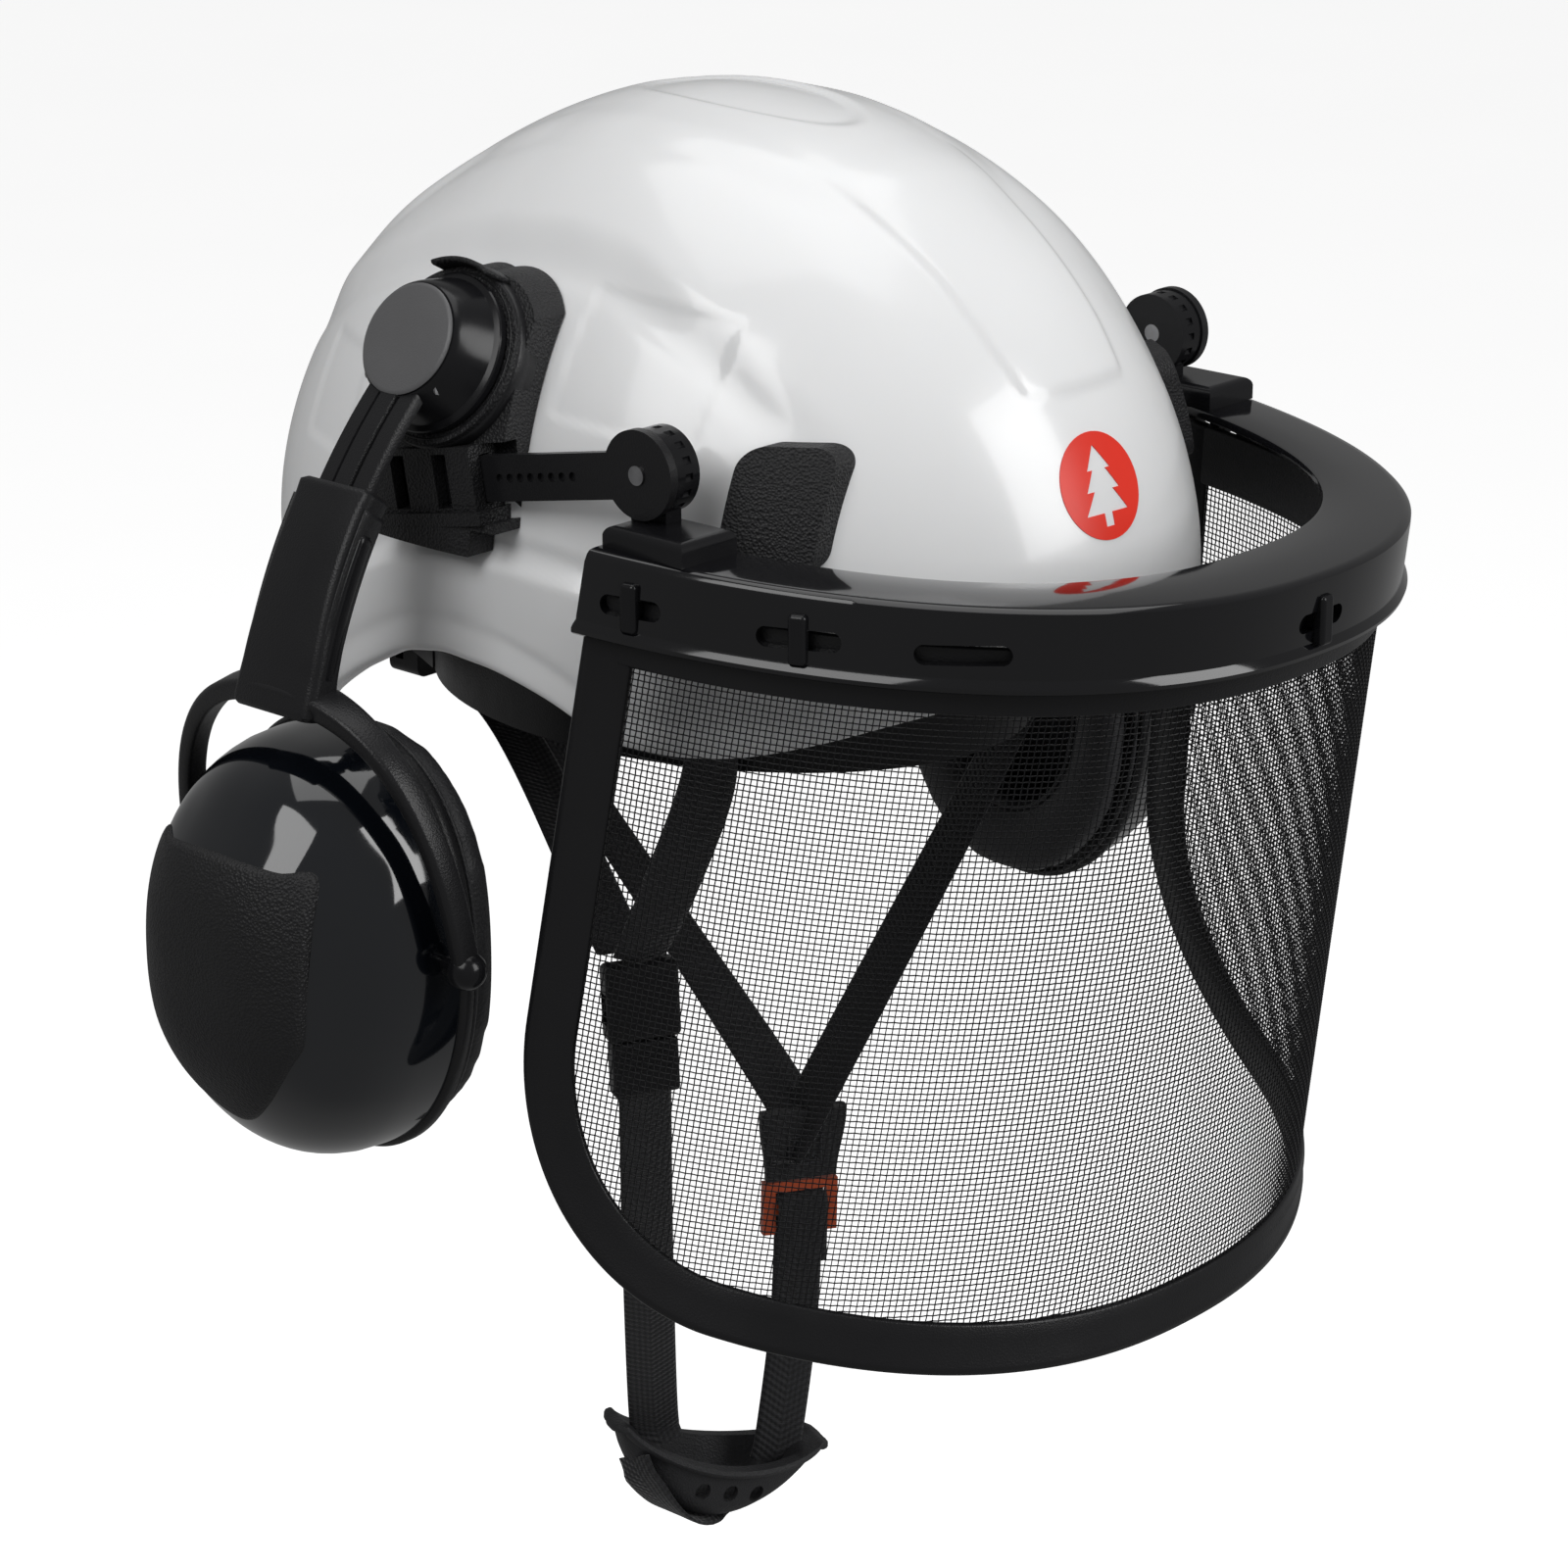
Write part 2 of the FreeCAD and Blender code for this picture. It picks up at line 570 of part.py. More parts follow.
def make_lug():
    """Toothed wheel and stem that carry the peak on the pivot."""
    x0, x1 = -ARM_OUT + ARM_THICK + CLEAR, -98.5
    wheel = cylinder(V(x0, PIVOT_Y, PIVOT_Z), X_AXIS, 11.0, x1 - x0)
    for i in range(16):
        groove = cylinder(V(x0 + 3.0, 0, 11.6), X_AXIS, 1.2, 2.6)
        groove.rotate(ORIGIN, X_AXIS, 22.5 * i)
        groove.translate(V(0, PIVOT_Y, PIVOT_Z))
        wheel = wheel.cut(groove)
    low = plate_z(PIVOT_Y - 8)
    stem = block(x0 + 1.0, x1 - 1.5, PIVOT_Y - 6, PIVOT_Y + 6, low + 4, PIVOT_Z - 5)
    foot = rounded(block(-117, -97, PIVOT_Y - 22, PIVOT_Y + 5, low - 2.0, low + 5.6), 2.5,
                   lambda e: min(v.Z for v in e.Vertexes) > low)
    plate_space = block(-FAR, FAR, -FAR, FAR, -FAR, 0)
    plate_space.rotate(ORIGIN, X_AXIS, math.degrees(PLATE_TILT))
    plate_space.translate(V(0, PIVOT_Y, plate_z(PIVOT_Y)))
    lug = wheel.fuse([stem, foot]).removeSplitter().cut(plate_space)
    return lug.cut(cylinder(V(x0 - 1, PIVOT_Y, PIVOT_Z), X_AXIS, PIVOT_PIN_R, 20))


def make_pivot_pin():
    pin = cylinder(V(-ARM_OUT - 0.6, PIVOT_Y, PIVOT_Z), X_AXIS, PIVOT_PIN_R, ARM_OUT + 0.6 - 98.5)
    return pin


# ---- ear muffs (right side; the left one is its mirror image) ---------------------------------
def arc_point(angle, radius=ARC_R):
    a = math.radians(angle)
    return V(ARC_X - radius * math.cos(a), MOUNT_Y, ARC_Z + radius * math.sin(a))


def arc_bar(angle0, angle1, width, depth):
    """Bar of rectangular section bent along the spring arm's arc."""
    h = depth / 2.0
    start, inner, outer = arc_point(angle0), arc_point(angle0, ARC_R - h), arc_point(angle0, ARC_R + h)
    half = Y_AXIS * (width / 2.0)
    face = polygon([inner - half, outer - half, outer + half, inner + half])
    return face.revolve(V(ARC_X, 0, ARC_Z), Y_AXIS, angle1 - angle0)


def make_hub():
    n = hub_axis()
    base = cylinder(HUB_AT + n * CLEAR, n, 22.0, 4.0)
    barrel = Part.makeCone(20.0, 15.0, 20.0 - CLEAR - 3.0, HUB_AT + n * (CLEAR + 3.0), n)
    hub = base.fuse(barrel).removeSplitter()
    hub = hub.cut(hub_block(5.5, 40, 6.0, 40, 10.5))
    hub = hub.cut(cylinder(HUB_AT - n, n, 3.95, 5.4))
    return hub.cut(arm_pin_shape(ARM_PIN_R))


def arm_pin_shape(radius):
    centre = arc_point(PIN_ANGLE)
    return cylinder(centre - Y_AXIS * 13.0, Y_AXIS, radius, 26.0)


def make_muff_arm():
    centre = arc_point(PIN_ANGLE)
    knuckle = cylinder(centre - Y_AXIS * (ARM_WIDTH / 2), Y_AXIS, KNUCKLE_R, ARM_WIDTH)
    bar = arc_bar(ARM_END, PIN_ANGLE, ARM_WIDTH, ARM_DEPTH)
    ridge = arc_bar(ARM_END, PIN_ANGLE - 4.0, 2.2, ARM_DEPTH + 1.2)
    arm = bar.fuse([knuckle, ridge]).removeSplitter()
    return arm.cut(arm_pin_shape(ARM_PIN_R + 0.05))


def yoke_hoop():
    """Half-ellipse fork from the sleeve's foot down to the two cup pins."""
    top = arc_point(SLEEVE_END + 1.0)
    foot = V(YOKE_PIN_X, MOUNT_Y, YOKE_PIN_Z)
    up = top - foot
    rise = up.Length
    up.normalize()
    out = V(-up.z, 0, up.x)
    sections = []
    for grow in (2.6, -2.6):
        curve = Part.Ellipse(foot + up * (rise + grow), foot + Y_AXIS * (YOKE_HALF_Y + grow), foot)
        sections.append(Part.Face(Part.Wire(curve.toShape())))
    ring = sections[0].cut(sections[1])
    ring.translate(out * -3.5)
    ring = ring.extrude(out * 7.0)
    below = polygon([foot - Y_AXIS * 90 - out * 60, foot + Y_AXIS * 90 - out * 60,
                     foot + Y_AXIS * 90 + out * 60, foot - Y_AXIS * 90 + out * 60]).extrude(up * -120)
    return ring.cut(below)


def make_yoke():
    sleeve = arc_bar(SLEEVE_END, SLEEVE_TOP, SLEEVE_WIDTH, SLEEVE_DEPTH)
    pocket = arc_bar(SLEEVE_END + 4.5, SLEEVE_TOP + 5.0, ARM_WIDTH + 2 * CLEAR, ARM_DEPTH + 1.2 + 2 * CLEAR)
    foot = arc_bar(SLEEVE_END - 1.0, SLEEVE_END + 5.0, SLEEVE_WIDTH + 3.0, SLEEVE_DEPTH)
    yoke = sleeve.fuse([foot, yoke_hoop()])
    for side in (-1, 1):
        y = MOUNT_Y + side * YOKE_HALF_Y
        ball = Part.makeSphere(4.6, V(YOKE_PIN_X, y, YOKE_PIN_Z))
        pin = cylinder(V(YOKE_PIN_X, y, YOKE_PIN_Z), V(0, -side, 0), 2.0, 9.0)
        yoke = yoke.fuse([ball, pin])
    return yoke.cut(pocket)


def cup_dome(half_y, half_z, depth):
    scale = FreeCAD.Matrix()
    scale.scale(V(depth, half_y, half_z))
    dome = Part.makeSphere(1.0).transformGeometry(scale)
    dome.translate(V(-RING_OUT, CUP_Y, CUP_Z))
    return dome.common(block(-FAR, -RING_OUT, -FAR, FAR, -FAR, FAR))


def make_cup_shell():
    depth = CUP_OUT - RING_OUT
    outer = cup_dome(CUP_HALF_Y, CUP_HALF_Z, depth)
    inner = cup_dome(CUP_HALF_Y - CUP_WALL, CUP_HALF_Z - CUP_WALL, depth - CUP_WALL)
    cup = outer.cut(inner)
    drill = cylinder(V(YOKE_PIN_X, CUP_Y - 60, YOKE_PIN_Z), Y_AXIS, 2.05, 120)
    return cup.cut(drill)


def make_cup_badge():
    """Shield-shaped textured plate on the cup's outer face."""
    depth = CUP_OUT - RING_OUT
    skin = cup_dome(CUP_HALF_Y + 1.4, CUP_HALF_Z + 1.4, depth + 1.4)
    shield = across([
        line(V(0, CUP_Y + 27, CUP_Z - 8), V(0, CUP_Y + 27, CUP_Z + 30)),
        arc(V(0, CUP_Y + 27, CUP_Z + 30), V(0, CUP_Y, CUP_Z + 34), V(0, CUP_Y - 29, CUP_Z + 29.5)),
        line(V(0, CUP_Y - 29, CUP_Z + 29.5), V(0, CUP_Y - 29, CUP_Z - 6)),
        arc(V(0, CUP_Y - 29, CUP_Z - 6), V(0, CUP_Y - 19, CUP_Z - 26), V(0, CUP_Y - 3, CUP_Z - 40)),
        arc(V(0, CUP_Y - 3, CUP_Z - 40), V(0, CUP_Y + 17, CUP_Z - 27), V(0, CUP_Y + 27, CUP_Z - 8)),
    ], FAR).common(block(-FAR, -RING_OUT - 12, -FAR, FAR, -FAR, FAR))
    return skin.cut(cup_dome(CUP_HALF_Y, CUP_HALF_Z, depth)).common(shield)


def make_cup_ring():
    plate = ellipse_plate(-RING_OUT, -CUSHION_OUT, CUP_Y, CUP_Z, CUP_HALF_Y + 1.5, CUP_HALF_Z + 1.0)
    hole = ellipse_plate(-RING_OUT - 1, -CUSHION_OUT + 1, CUP_Y, CUP_Z, EAR_HALF_Y + 3, EAR_HALF_Z + 3)
    return plate.cut(hole)


def make_cushion():
    pad = ellipse_plate(-CUSHION_OUT, -CUSHION_IN, CUP_Y, CUP_Z, CUP_HALF_Y, CUP_HALF_Z)
    hole = ellipse_plate(-CUSHION_OUT - 1, -CUSHION_IN + 1, CUP_Y, CUP_Z, EAR_HALF_Y, EAR_HALF_Z)
    return pad.cut(hole)


def make_cup_foam():
    depth = CUP_OUT - RING_OUT - CUP_WALL
    inner = cup_dome(CUP_HALF_Y - CUP_WALL, CUP_HALF_Z - CUP_WALL, depth)
    return inner.common(block(-RING_OUT - 24, -RING_OUT - 14, -FAR, FAR, -FAR, FAR))


# ---- harness ----------------------------------------------------------------------------------
RIGHT_ANCHOR = V(-76, -62, -16.4)
LEFT_ANCHOR = V(76, -62, -16.4)
BUCKLE_TOP = V(-60, -21, -104)
BUCKLE_LOW = V(-60, -23, -140)
SPLIT_LEFT = V(30, -1, -184)
CUP_RIGHT_END = V(-30, 18, -266)
CUP_LEFT_END = V(28, -8, -284)
STRAP_RIGHT_END = V(-20, 13, -268)
STRAP_LEFT_END = V(18, -3, -283)
ALONG_Y = V(-0.35, 0.94, 0)
FACE_ON = V(0.87, -0.5, 0)


def make_front_strap_right():
    return ribbon([RIGHT_ANCHOR, V(-68, -55, -42), BUCKLE_TOP], [ALONG_Y, ALONG_Y, FACE_ON * -1])


def make_rear_strap_right():
    return ribbon([V(-8, 119, -50.8), V(-17, 70, -67), V(-58, -13, -103.5)], [X_AXIS, X_AXIS, FACE_ON])


def make_front_strap_left():
    return ribbon([LEFT_ANCHOR, V(68, -55, -46), SPLIT_LEFT], [V(0.35, 0.94, 0), V(0.3, 0.95, 0), Y_AXIS])


def make_rear_strap_left():
    return ribbon([V(12, 119, -50.8), V(21, 60, -116), V(30, 6, -179)], [X_AXIS, X_AXIS, FACE_ON])


def buckle_frame():
    """Right-hand buckle: along, across and through directions."""
    along = BUCKLE_LOW - BUCKLE_TOP
    along.normalize()
    across_dir = FACE_ON - along * FACE_ON.dot(along)
    across_dir.normalize()
    return along, across_dir, along.cross(across_dir)


def buckle_block(s0, s1, w0, w1, t0, t1):
    """Block in the buckle's frame, measured from its top end."""
    along, side, normal = buckle_frame()
    a = BUCKLE_TOP + along * s0 + side * w0 + normal * t0
    face = polygon([a, a + side * (w1 - w0), a + side * (w1 - w0) + normal * (t1 - t0), a + normal * (t1 - t0)])
    return face.extrude(along * (s1 - s0))


def make_buckle_socket():
    body = rounded(buckle_block(0, 22, -10.5, 10.5, -4, 4), 1.8)
    return body.cut(buckle_block(4, 40, -8.0, 8.0, -2.4, 2.4)).cut(buckle_block(8, 17, -20, 20, -2.4, 2.4))


def make_buckle_plug():
    bar = buckle_block(22.3, 38, -9.5, 9.5, -3.2, 3.2)
    tongue = buckle_block(6, 24, -2.2, 2.2, -2.0, 2.0)
    return rounded(bar, 1.2).fuse(tongue).cut(buckle_block(30, 34, -7.6, 7.6, -1.0, 1.0))


def make_prong(side):
    lo, hi = (4.4, 8.6) if side > 0 else (-8.6, -4.4)
    return buckle_block(8.6, 16.4, lo, hi, -1.9, 1.9)


def make_chin_strap_right():
    return ribbon([BUCKLE_LOW + V(0, 0, -2.2), V(-44, -8, -200), STRAP_RIGHT_END], [FACE_ON, FACE_ON, FACE_ON])


SLIDER_TOP = V(30, 0, -204)


def make_strap_fold():
    return ribbon([SPLIT_LEFT + V(0, 0, -3.0), SLIDER_TOP], [FACE_ON, FACE_ON], 19.0, 4.5)


def make_slider():
    frame = ribbon([SLIDER_TOP + V(0, 0.3, -0.5), SLIDER_TOP + V(-0.5, 0.3, -17)], [FACE_ON, FACE_ON], 23.0, 3.0)
    for low, high in ((-3.5, -7.0), (-10.5, -14.0)):
        gap = ribbon([SLIDER_TOP + V(0, 0.3, low), SLIDER_TOP + V(0, 0.3, high)], [FACE_ON, FACE_ON], 16.0, 9.0)
        frame = frame.cut(gap)
    return frame


def make_chin_strap_left():
    return ribbon([SLIDER_TOP + V(0, 0.4, -18), V(25, -2, -246), STRAP_LEFT_END], [FACE_ON, FACE_ON, FACE_ON])


def make_chin_cup():
    """Dished rubber chin piece slung between the two straps."""
    span = CUP_LEFT_END - CUP_RIGHT_END
    width = span.Length
    along = V(span.x, span.y, span.z)
    along.normalize()
    down = V(0, 0, -1) - along * V(0, 0, -1).dot(along)
    down.normalize()
    face_dir = along.cross(down)
    a, b = CUP_RIGHT_END, CUP_LEFT_END
    mid_low = (a + b) * 0.5 + down * 34.0
    mid_high = (a + b) * 0.5 + down * 9.0
    edges = [arc(a, mid_low, b), arc(b, mid_high, a)]
    face = Part.Face(Part.Wire(edges))
    face.translate(face_dir * -6.0)
    cup = face.extrude(face_dir * 12.0)
    core = Part.Face(Part.Wire([arc(a - down * 1, mid_low - down * 3.2, b - down * 1),
                                line(b - down * 1, b - down * 40), line(b - down * 40, a - down * 40),
                                line(a - down * 40, a - down * 1)]))
    core.translate(face_dir * -3.0)
    return cup.cut(core.extrude(face_dir * 14.0)), width


# ---- assembly ---------------------------------------------------------------------------------
def main():
    os.makedirs("parts", exist_ok=True)
    cradle = make_cradle()
    save("shell", make_shell())
    save("impact_liner", make_liner())
    save("cradle_straps", cradle)
    save("strap_anchors", make_anchors(cradle))
    save("nape_hanger", make_nape_hanger())
    save("headband", make_headband())
    save("sweatband", make_sweatband())
    save("nape_pad", make_nape_pad())
    save("ratchet_case", make_ratchet_case())
    save("ratchet_cover", make_ratchet_cover())
    save("ratchet_knob", make_knob())
    save("ratchet_pinion", make_pinion())
    save("rack_tail_right", make_rack_tail(-1))
    save("rack_tail_left", make_rack_tail(1))
    save("lamp_clips", make_lamp_clips())

    sided = {
        "mount_base": make_mount_base(),
        "rail_block": make_rail_block(),
        "visor_arm": make_visor_arm(),
        "muff_hub": make_hub(),
        "muff_arm": make_muff_arm(),
        "arm_pin": arm_pin_shape(ARM_PIN_R),
        "muff_yoke": make_yoke(),
        "cup_shell": make_cup_shell(),
        "cup_badge": make_cup_badge(),
        "cup_ring": make_cup_ring(),
        "ear_cushion": make_cushion(),
        "cup_foam": make_cup_foam(),
    }
    for name, shape in sided.items():
        save(name + "_right", shape)
        save(name + "_left", mirrored(shape))

    for name, shape in (("hub_axles", make_hub_axle()), ("pivot_pins", make_pivot_pin()), ("carrier_lugs", make_lug())):
        save(name, Part.makeCompound([shape, mirrored(shape)]))
    carrier, frame = make_carrier(), make_visor_frame()
    save("visor_carrier", carrier)
    save("visor_frame", frame)
    save("visor_mesh", make_visor_mesh())
    save("visor_pegs", make_pegs(carrier, frame))

    save("front_strap_right", make_front_strap_right())
    save("front_strap_left", make_front_strap_left())
    save("rear_strap_right", make_rear_strap_right())
    save("rear_strap_left", make_rear_strap_left())
    save("buckle_socket", make_buckle_socket())
    save("buckle_plug", make_buckle_plug())
    save("release_prong_front", make_prong(1))
    save("release_prong_rear", make_prong(-1))
    save("chin_strap_right", make_chin_strap_right())
    save("strap_fold", make_strap_fold())
    save("strap_slider", make_slider())
    save("chin_strap_left", make_chin_strap_left())
    save("chin_cup", make_chin_cup()[0])


main()
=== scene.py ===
import math

import bmesh
import bpy
import numpy as np
from mathutils import Matrix, Vector
from mathutils.geometry import delaunay_2d_cdt


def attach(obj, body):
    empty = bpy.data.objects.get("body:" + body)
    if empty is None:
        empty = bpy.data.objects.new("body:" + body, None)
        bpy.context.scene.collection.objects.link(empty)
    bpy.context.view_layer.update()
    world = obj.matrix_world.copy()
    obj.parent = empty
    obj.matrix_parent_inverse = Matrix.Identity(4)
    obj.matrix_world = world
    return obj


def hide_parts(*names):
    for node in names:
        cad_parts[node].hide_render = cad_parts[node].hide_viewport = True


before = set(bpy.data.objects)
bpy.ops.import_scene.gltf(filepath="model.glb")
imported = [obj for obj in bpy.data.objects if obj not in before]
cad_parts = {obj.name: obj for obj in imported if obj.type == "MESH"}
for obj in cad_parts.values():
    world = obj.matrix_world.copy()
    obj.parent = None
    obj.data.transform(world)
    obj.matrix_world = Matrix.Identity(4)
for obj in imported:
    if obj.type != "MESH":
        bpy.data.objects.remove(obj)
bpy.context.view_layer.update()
MM = 0.001

# Arborist helmet. Same frame as the CAD: origin at the shell's centre at brim height, front -Y,
# wearer's right -X, +Z up. Lengths below are millimetres and are scaled when a mesh is made.


# ---- node material helpers --------------------------------------------------------------------
class Nodes:
    """Short names for the node calls every material here needs."""

    def __init__(self, name):
        self.mat = bpy.data.materials.new(name)
        self.mat.use_nodes = True
        self.tree = self.mat.node_tree
        self.shader = self.tree.nodes["Principled BSDF"]
        self.coords = self.add("ShaderNodeTexCoord")

    def add(self, kind, **values):
        node = self.tree.nodes.new(kind)
        for key, value in values.items():
            if hasattr(node, key):
                setattr(node, key, value)
            else:
                node.inputs[key.replace("_", " ")].default_value = value
        return node

    def link(self, a, b):
        self.tree.links.new(a, b)

    def set(self, **values):
        for key, value in values.items():
            self.shader.inputs[key.replace("_", " ")].default_value = value

    def noise(self, scale, detail=3.0, space="Object", **more):
        node = self.add("ShaderNodeTexNoise", Scale=scale, Detail=detail, **more)
        self.link(self.coords.outputs[space], node.inputs["Vector"])
        return node

    def ramp(self, source, stops):
        node = self.add("ShaderNodeValToRGB")
        while len(node.color_ramp.elements) < len(stops):
            node.color_ramp.elements.new(0.5)
        for element, (place, value) in zip(node.color_ramp.elements, stops):
            element.position = place
            element.color = value if len(value) == 4 else (*value, 1.0)
        self.link(source, node.inputs["Fac"])
        return node

    def bump(self, source, strength, distance, below=None):
        node = self.add("ShaderNodeBump", Strength=strength, Distance=distance)
        self.link(source, node.inputs["Height"])
        if below is not None:
            self.link(below.outputs["Normal"], node.inputs["Normal"])
        return node

    def finish(self, normal=None):
        if normal is not None:
            self.link(normal.outputs["Normal"], self.shader.inputs["Normal"])
        return self.mat


def tint(value, amount):
    return tuple(min(1.0, c * amount) for c in value)


def moulded(name, colour, rough, grain=0.0, grain_size=900.0, spread=0.06, coat=0.0, waves=0.0, shine=0.28):
    """Moulded plastic: faint flow variation, patchy roughness and, where asked, a leather-like grain."""
    m = Nodes(name)
    flow = m.noise(22.0, 4.0)
    shade = m.ramp(flow.outputs["Fac"], [(0.3, tint(colour, 0.9)), (0.72, tint(colour, 1.12))])
    m.link(shade.outputs["Color"], m.shader.inputs["Base Color"])
    patch = m.noise(60.0, 5.0)
    gloss = m.ramp(patch.outputs["Fac"], [(0.25, (rough - spread,) * 3), (0.8, (rough + spread,) * 3)])
    m.link(gloss.outputs["Color"], m.shader.inputs["Roughness"])
    m.set(IOR=1.5, Specular_IOR_Level=shine, Coat_Weight=coat, Coat_Roughness=0.06)
    normal = None
    if waves:
        swell = m.noise(28.0, 2.0)
        normal = m.bump(swell.outputs["Fac"], waves, 0.002)
    if grain:
        cells = m.add("ShaderNodeTexVoronoi", Scale=grain_size, Randomness=1.0)
        m.link(m.coords.outputs["Object"], cells.inputs["Vector"])
        normal = m.bump(cells.outputs["Distance"], grain, 0.0006, normal)
    return m.finish(normal)


def shell_white():
    m = Nodes("shell_white")
    flow = m.noise(9.0, 3.0)
    shade = m.ramp(flow.outputs["Fac"], [(0.3, (0.79, 0.795, 0.80)), (0.7, (0.83, 0.835, 0.84))])
    m.link(shade.outputs["Color"], m.shader.inputs["Base Color"])
    patch = m.noise(140.0, 4.0)
    gloss = m.ramp(patch.outputs["Fac"], [(0.2, (0.20,) * 3), (0.8, (0.26,) * 3)])
    m.link(gloss.outputs["Color"], m.shader.inputs["Roughness"])
    peel = m.noise(420.0, 2.0)
    m.set(IOR=1.49, Coat_Weight=0.35, Coat_Roughness=0.08, Subsurface_Weight=0.12, Subsurface_Scale=0.004,
          Subsurface_Radius=(1.0, 0.9, 0.8))
    return m.finish(m.bump(peel.outputs["Fac"], 0.02, 0.0006))


def webbing(name, colour, ribs=(0.0021, 0.0016), lean=0.6):
    """Polyester webbing: diagonal ribs across the width, fine yarns along it, with painted shade in the grooves and
    painted highlight on the rib crowns.
    The UV map is in metres: x across the strap, y along it."""
    m = Nodes(name)
    split = m.add("ShaderNodeSeparateXYZ")
    m.link(m.coords.outputs["UV"], split.inputs["Vector"])

    def math_node(op, a, b):
        node = m.add("ShaderNodeMath", operation=op)
        for i, value in enumerate((a, b)):
            if isinstance(value, (int, float)):
                node.inputs[i].default_value = value
            else:
                m.link(value, node.inputs[i])
        return node.outputs[0]

    x, y = split.outputs["X"], split.outputs["Y"]
    fold = math_node("ABSOLUTE", x, 0.0)
    slant = math_node("ADD", y, math_node("MULTIPLY", fold, lean))
    rib = math_node("SINE", math_node("MULTIPLY", slant, 2.0 * math.pi / ribs[0]), 0.0)
    yarn = math_node("SINE", math_node("MULTIPLY", x, 2.0 * math.pi / ribs[1]), 0.0)
    fine = math_node("SINE", math_node("MULTIPLY", y, 2.0 * math.pi / 0.0007), 0.0)
    height = math_node("ADD", math_node("MULTIPLY", rib, 0.5),
                       math_node("ADD", math_node("MULTIPLY", yarn, 0.25), math_node("MULTIPLY", fine, 0.12)))
    level = math_node("MULTIPLY_ADD", height, 0.5)
    level.node.inputs[2].default_value = 0.5
    # Colour follows the weave's height: darker in the grooves is painted shade, lighter on the crowns is painted
    # highlight.
    shade = m.ramp(level, [(0.1, tint(colour, 0.35)), (0.55, colour), (0.95, tint(colour, 1.9))])
    m.link(shade.outputs["Color"], m.shader.inputs["Base Color"])
    fuzz = m.noise(2600.0, 2.0)
    low_bump = m.bump(fuzz.outputs["Fac"], 0.25, 0.0004)
    m.set(Roughness=0.72, Sheen_Weight=0.25, Sheen_Roughness=0.4)
    return m.finish(m.bump(level, 0.8, 0.0005, low_bump))


def foam(name, colour, scale, strength):
    m = Nodes(name)
    cells = m.add("ShaderNodeTexVoronoi", Scale=scale, feature="F1")
    m.link(m.coords.outputs["Object"], cells.inputs["Vector"])
    # Colour is lighter at the cell middles and darker towards their edges, where the bump below sinks: painted shade in
    # the pits.
    shade = m.ramp(cells.outputs["Distance"], [(0.0, tint(colour, 1.25)), (0.7, tint(colour, 0.55))])
    m.link(shade.outputs["Color"], m.shader.inputs["Base Color"])
    m.set(Roughness=0.85)
    fine = m.noise(scale * 5.0, 3.0)
    return m.finish(m.bump(cells.outputs["Distance"], -strength, 0.0015,
                           m.bump(fine.outputs["Fac"], 0.2, 0.0005)))


def leatherette(name, colour):
    m = Nodes(name)
    cells = m.add("ShaderNodeTexVoronoi", Scale=1100.0, feature="SMOOTH_F1")
    m.link(m.coords.outputs["Object"], cells.inputs["Vector"])
    broad = m.noise(45.0, 4.0)
    shade = m.ramp(broad.outputs["Fac"], [(0.3, tint(colour, 0.8)), (0.75, tint(colour, 1.35))])
    m.link(shade.outputs["Color"], m.shader.inputs["Base Color"])
    gloss = m.ramp(broad.outputs["Fac"], [(0.2, (0.42,) * 3), (0.8, (0.58,) * 3)])
    m.link(gloss.outputs["Color"], m.shader.inputs["Roughness"])
    m.set(IOR=1.46, Sheen_Weight=0.05)
    return m.finish(m.bump(cells.outputs["Distance"], 0.35, 0.0005,
                           m.bump(broad.outputs["Fac"], 0.25, 0.002)))


def brushed(name, colour, rough):
    m = Nodes(name)
    grain = m.noise(300.0, 6.0)
    shade = m.ramp(grain.outputs["Fac"], [(0.3, tint(colour, 0.8)), (0.7, tint(colour, 1.1))])
    m.link(shade.outputs["Color"], m.shader.inputs["Base Color"])
    m.set(Metallic=1.0, Roughness=rough)
    return m.finish(m.bump(grain.outputs["Fac"], 0.1, 0.0003))


WHITE = shell_white()
GRAINED = moulded("black_grained", (0.012, 0.012, 0.013), 0.50, grain=0.55, grain_size=1300.0)
SATIN = moulded("black_satin", (0.010, 0.010, 0.011), 0.34, grain=0.12, grain_size=1900.0)
SMOOTH = moulded("black_smooth", (0.007, 0.007, 0.008), 0.22, waves=0.03)
GLOSS = moulded("black_gloss", (0.004, 0.004, 0.005), 0.10, spread=0.02, coat=0.5, waves=0.02)
CUP_GLOSS = moulded("cup_gloss", (0.003, 0.004, 0.006), 0.07, spread=0.015, coat=1.0, waves=0.03)
HUB_GREY = moulded("hub_grey", (0.115, 0.115, 0.118), 0.30, spread=0.03, grain=0.08, grain_size=2200.0)
RUBBER = moulded("rubber_grey", (0.030, 0.030, 0.032), 0.55, grain=0.3, grain_size=1600.0)
PRONG = moulded("prong_grey", (0.30, 0.31, 0.32), 0.42, grain=0.15)
ORANGE = moulded("slider_orange", (0.50, 0.085, 0.030), 0.38, grain=0.1)
RED = moulded("mark_red", (0.78, 0.035, 0.018), 0.30, spread=0.03)
WIRE = moulded("mesh_wire", (0.005, 0.005, 0.006), 0.38, spread=0.05)
PIN = brushed("pin_steel", (0.35, 0.35, 0.36), 0.35)
STRAP = webbing("webbing_black", (0.011, 0.011, 0.013))
CRADLE = webbing("cradle_webbing", (0.030, 0.030, 0.033), ribs=(0.0026, 0.0012), lean=0.0)
THREAD = moulded("thread", (0.05, 0.05, 0.055), 0.7, grain=0.5, grain_size=3000.0)
LINER = foam("liner_foam", (0.045, 0.045, 0.048), 330.0, 0.6)
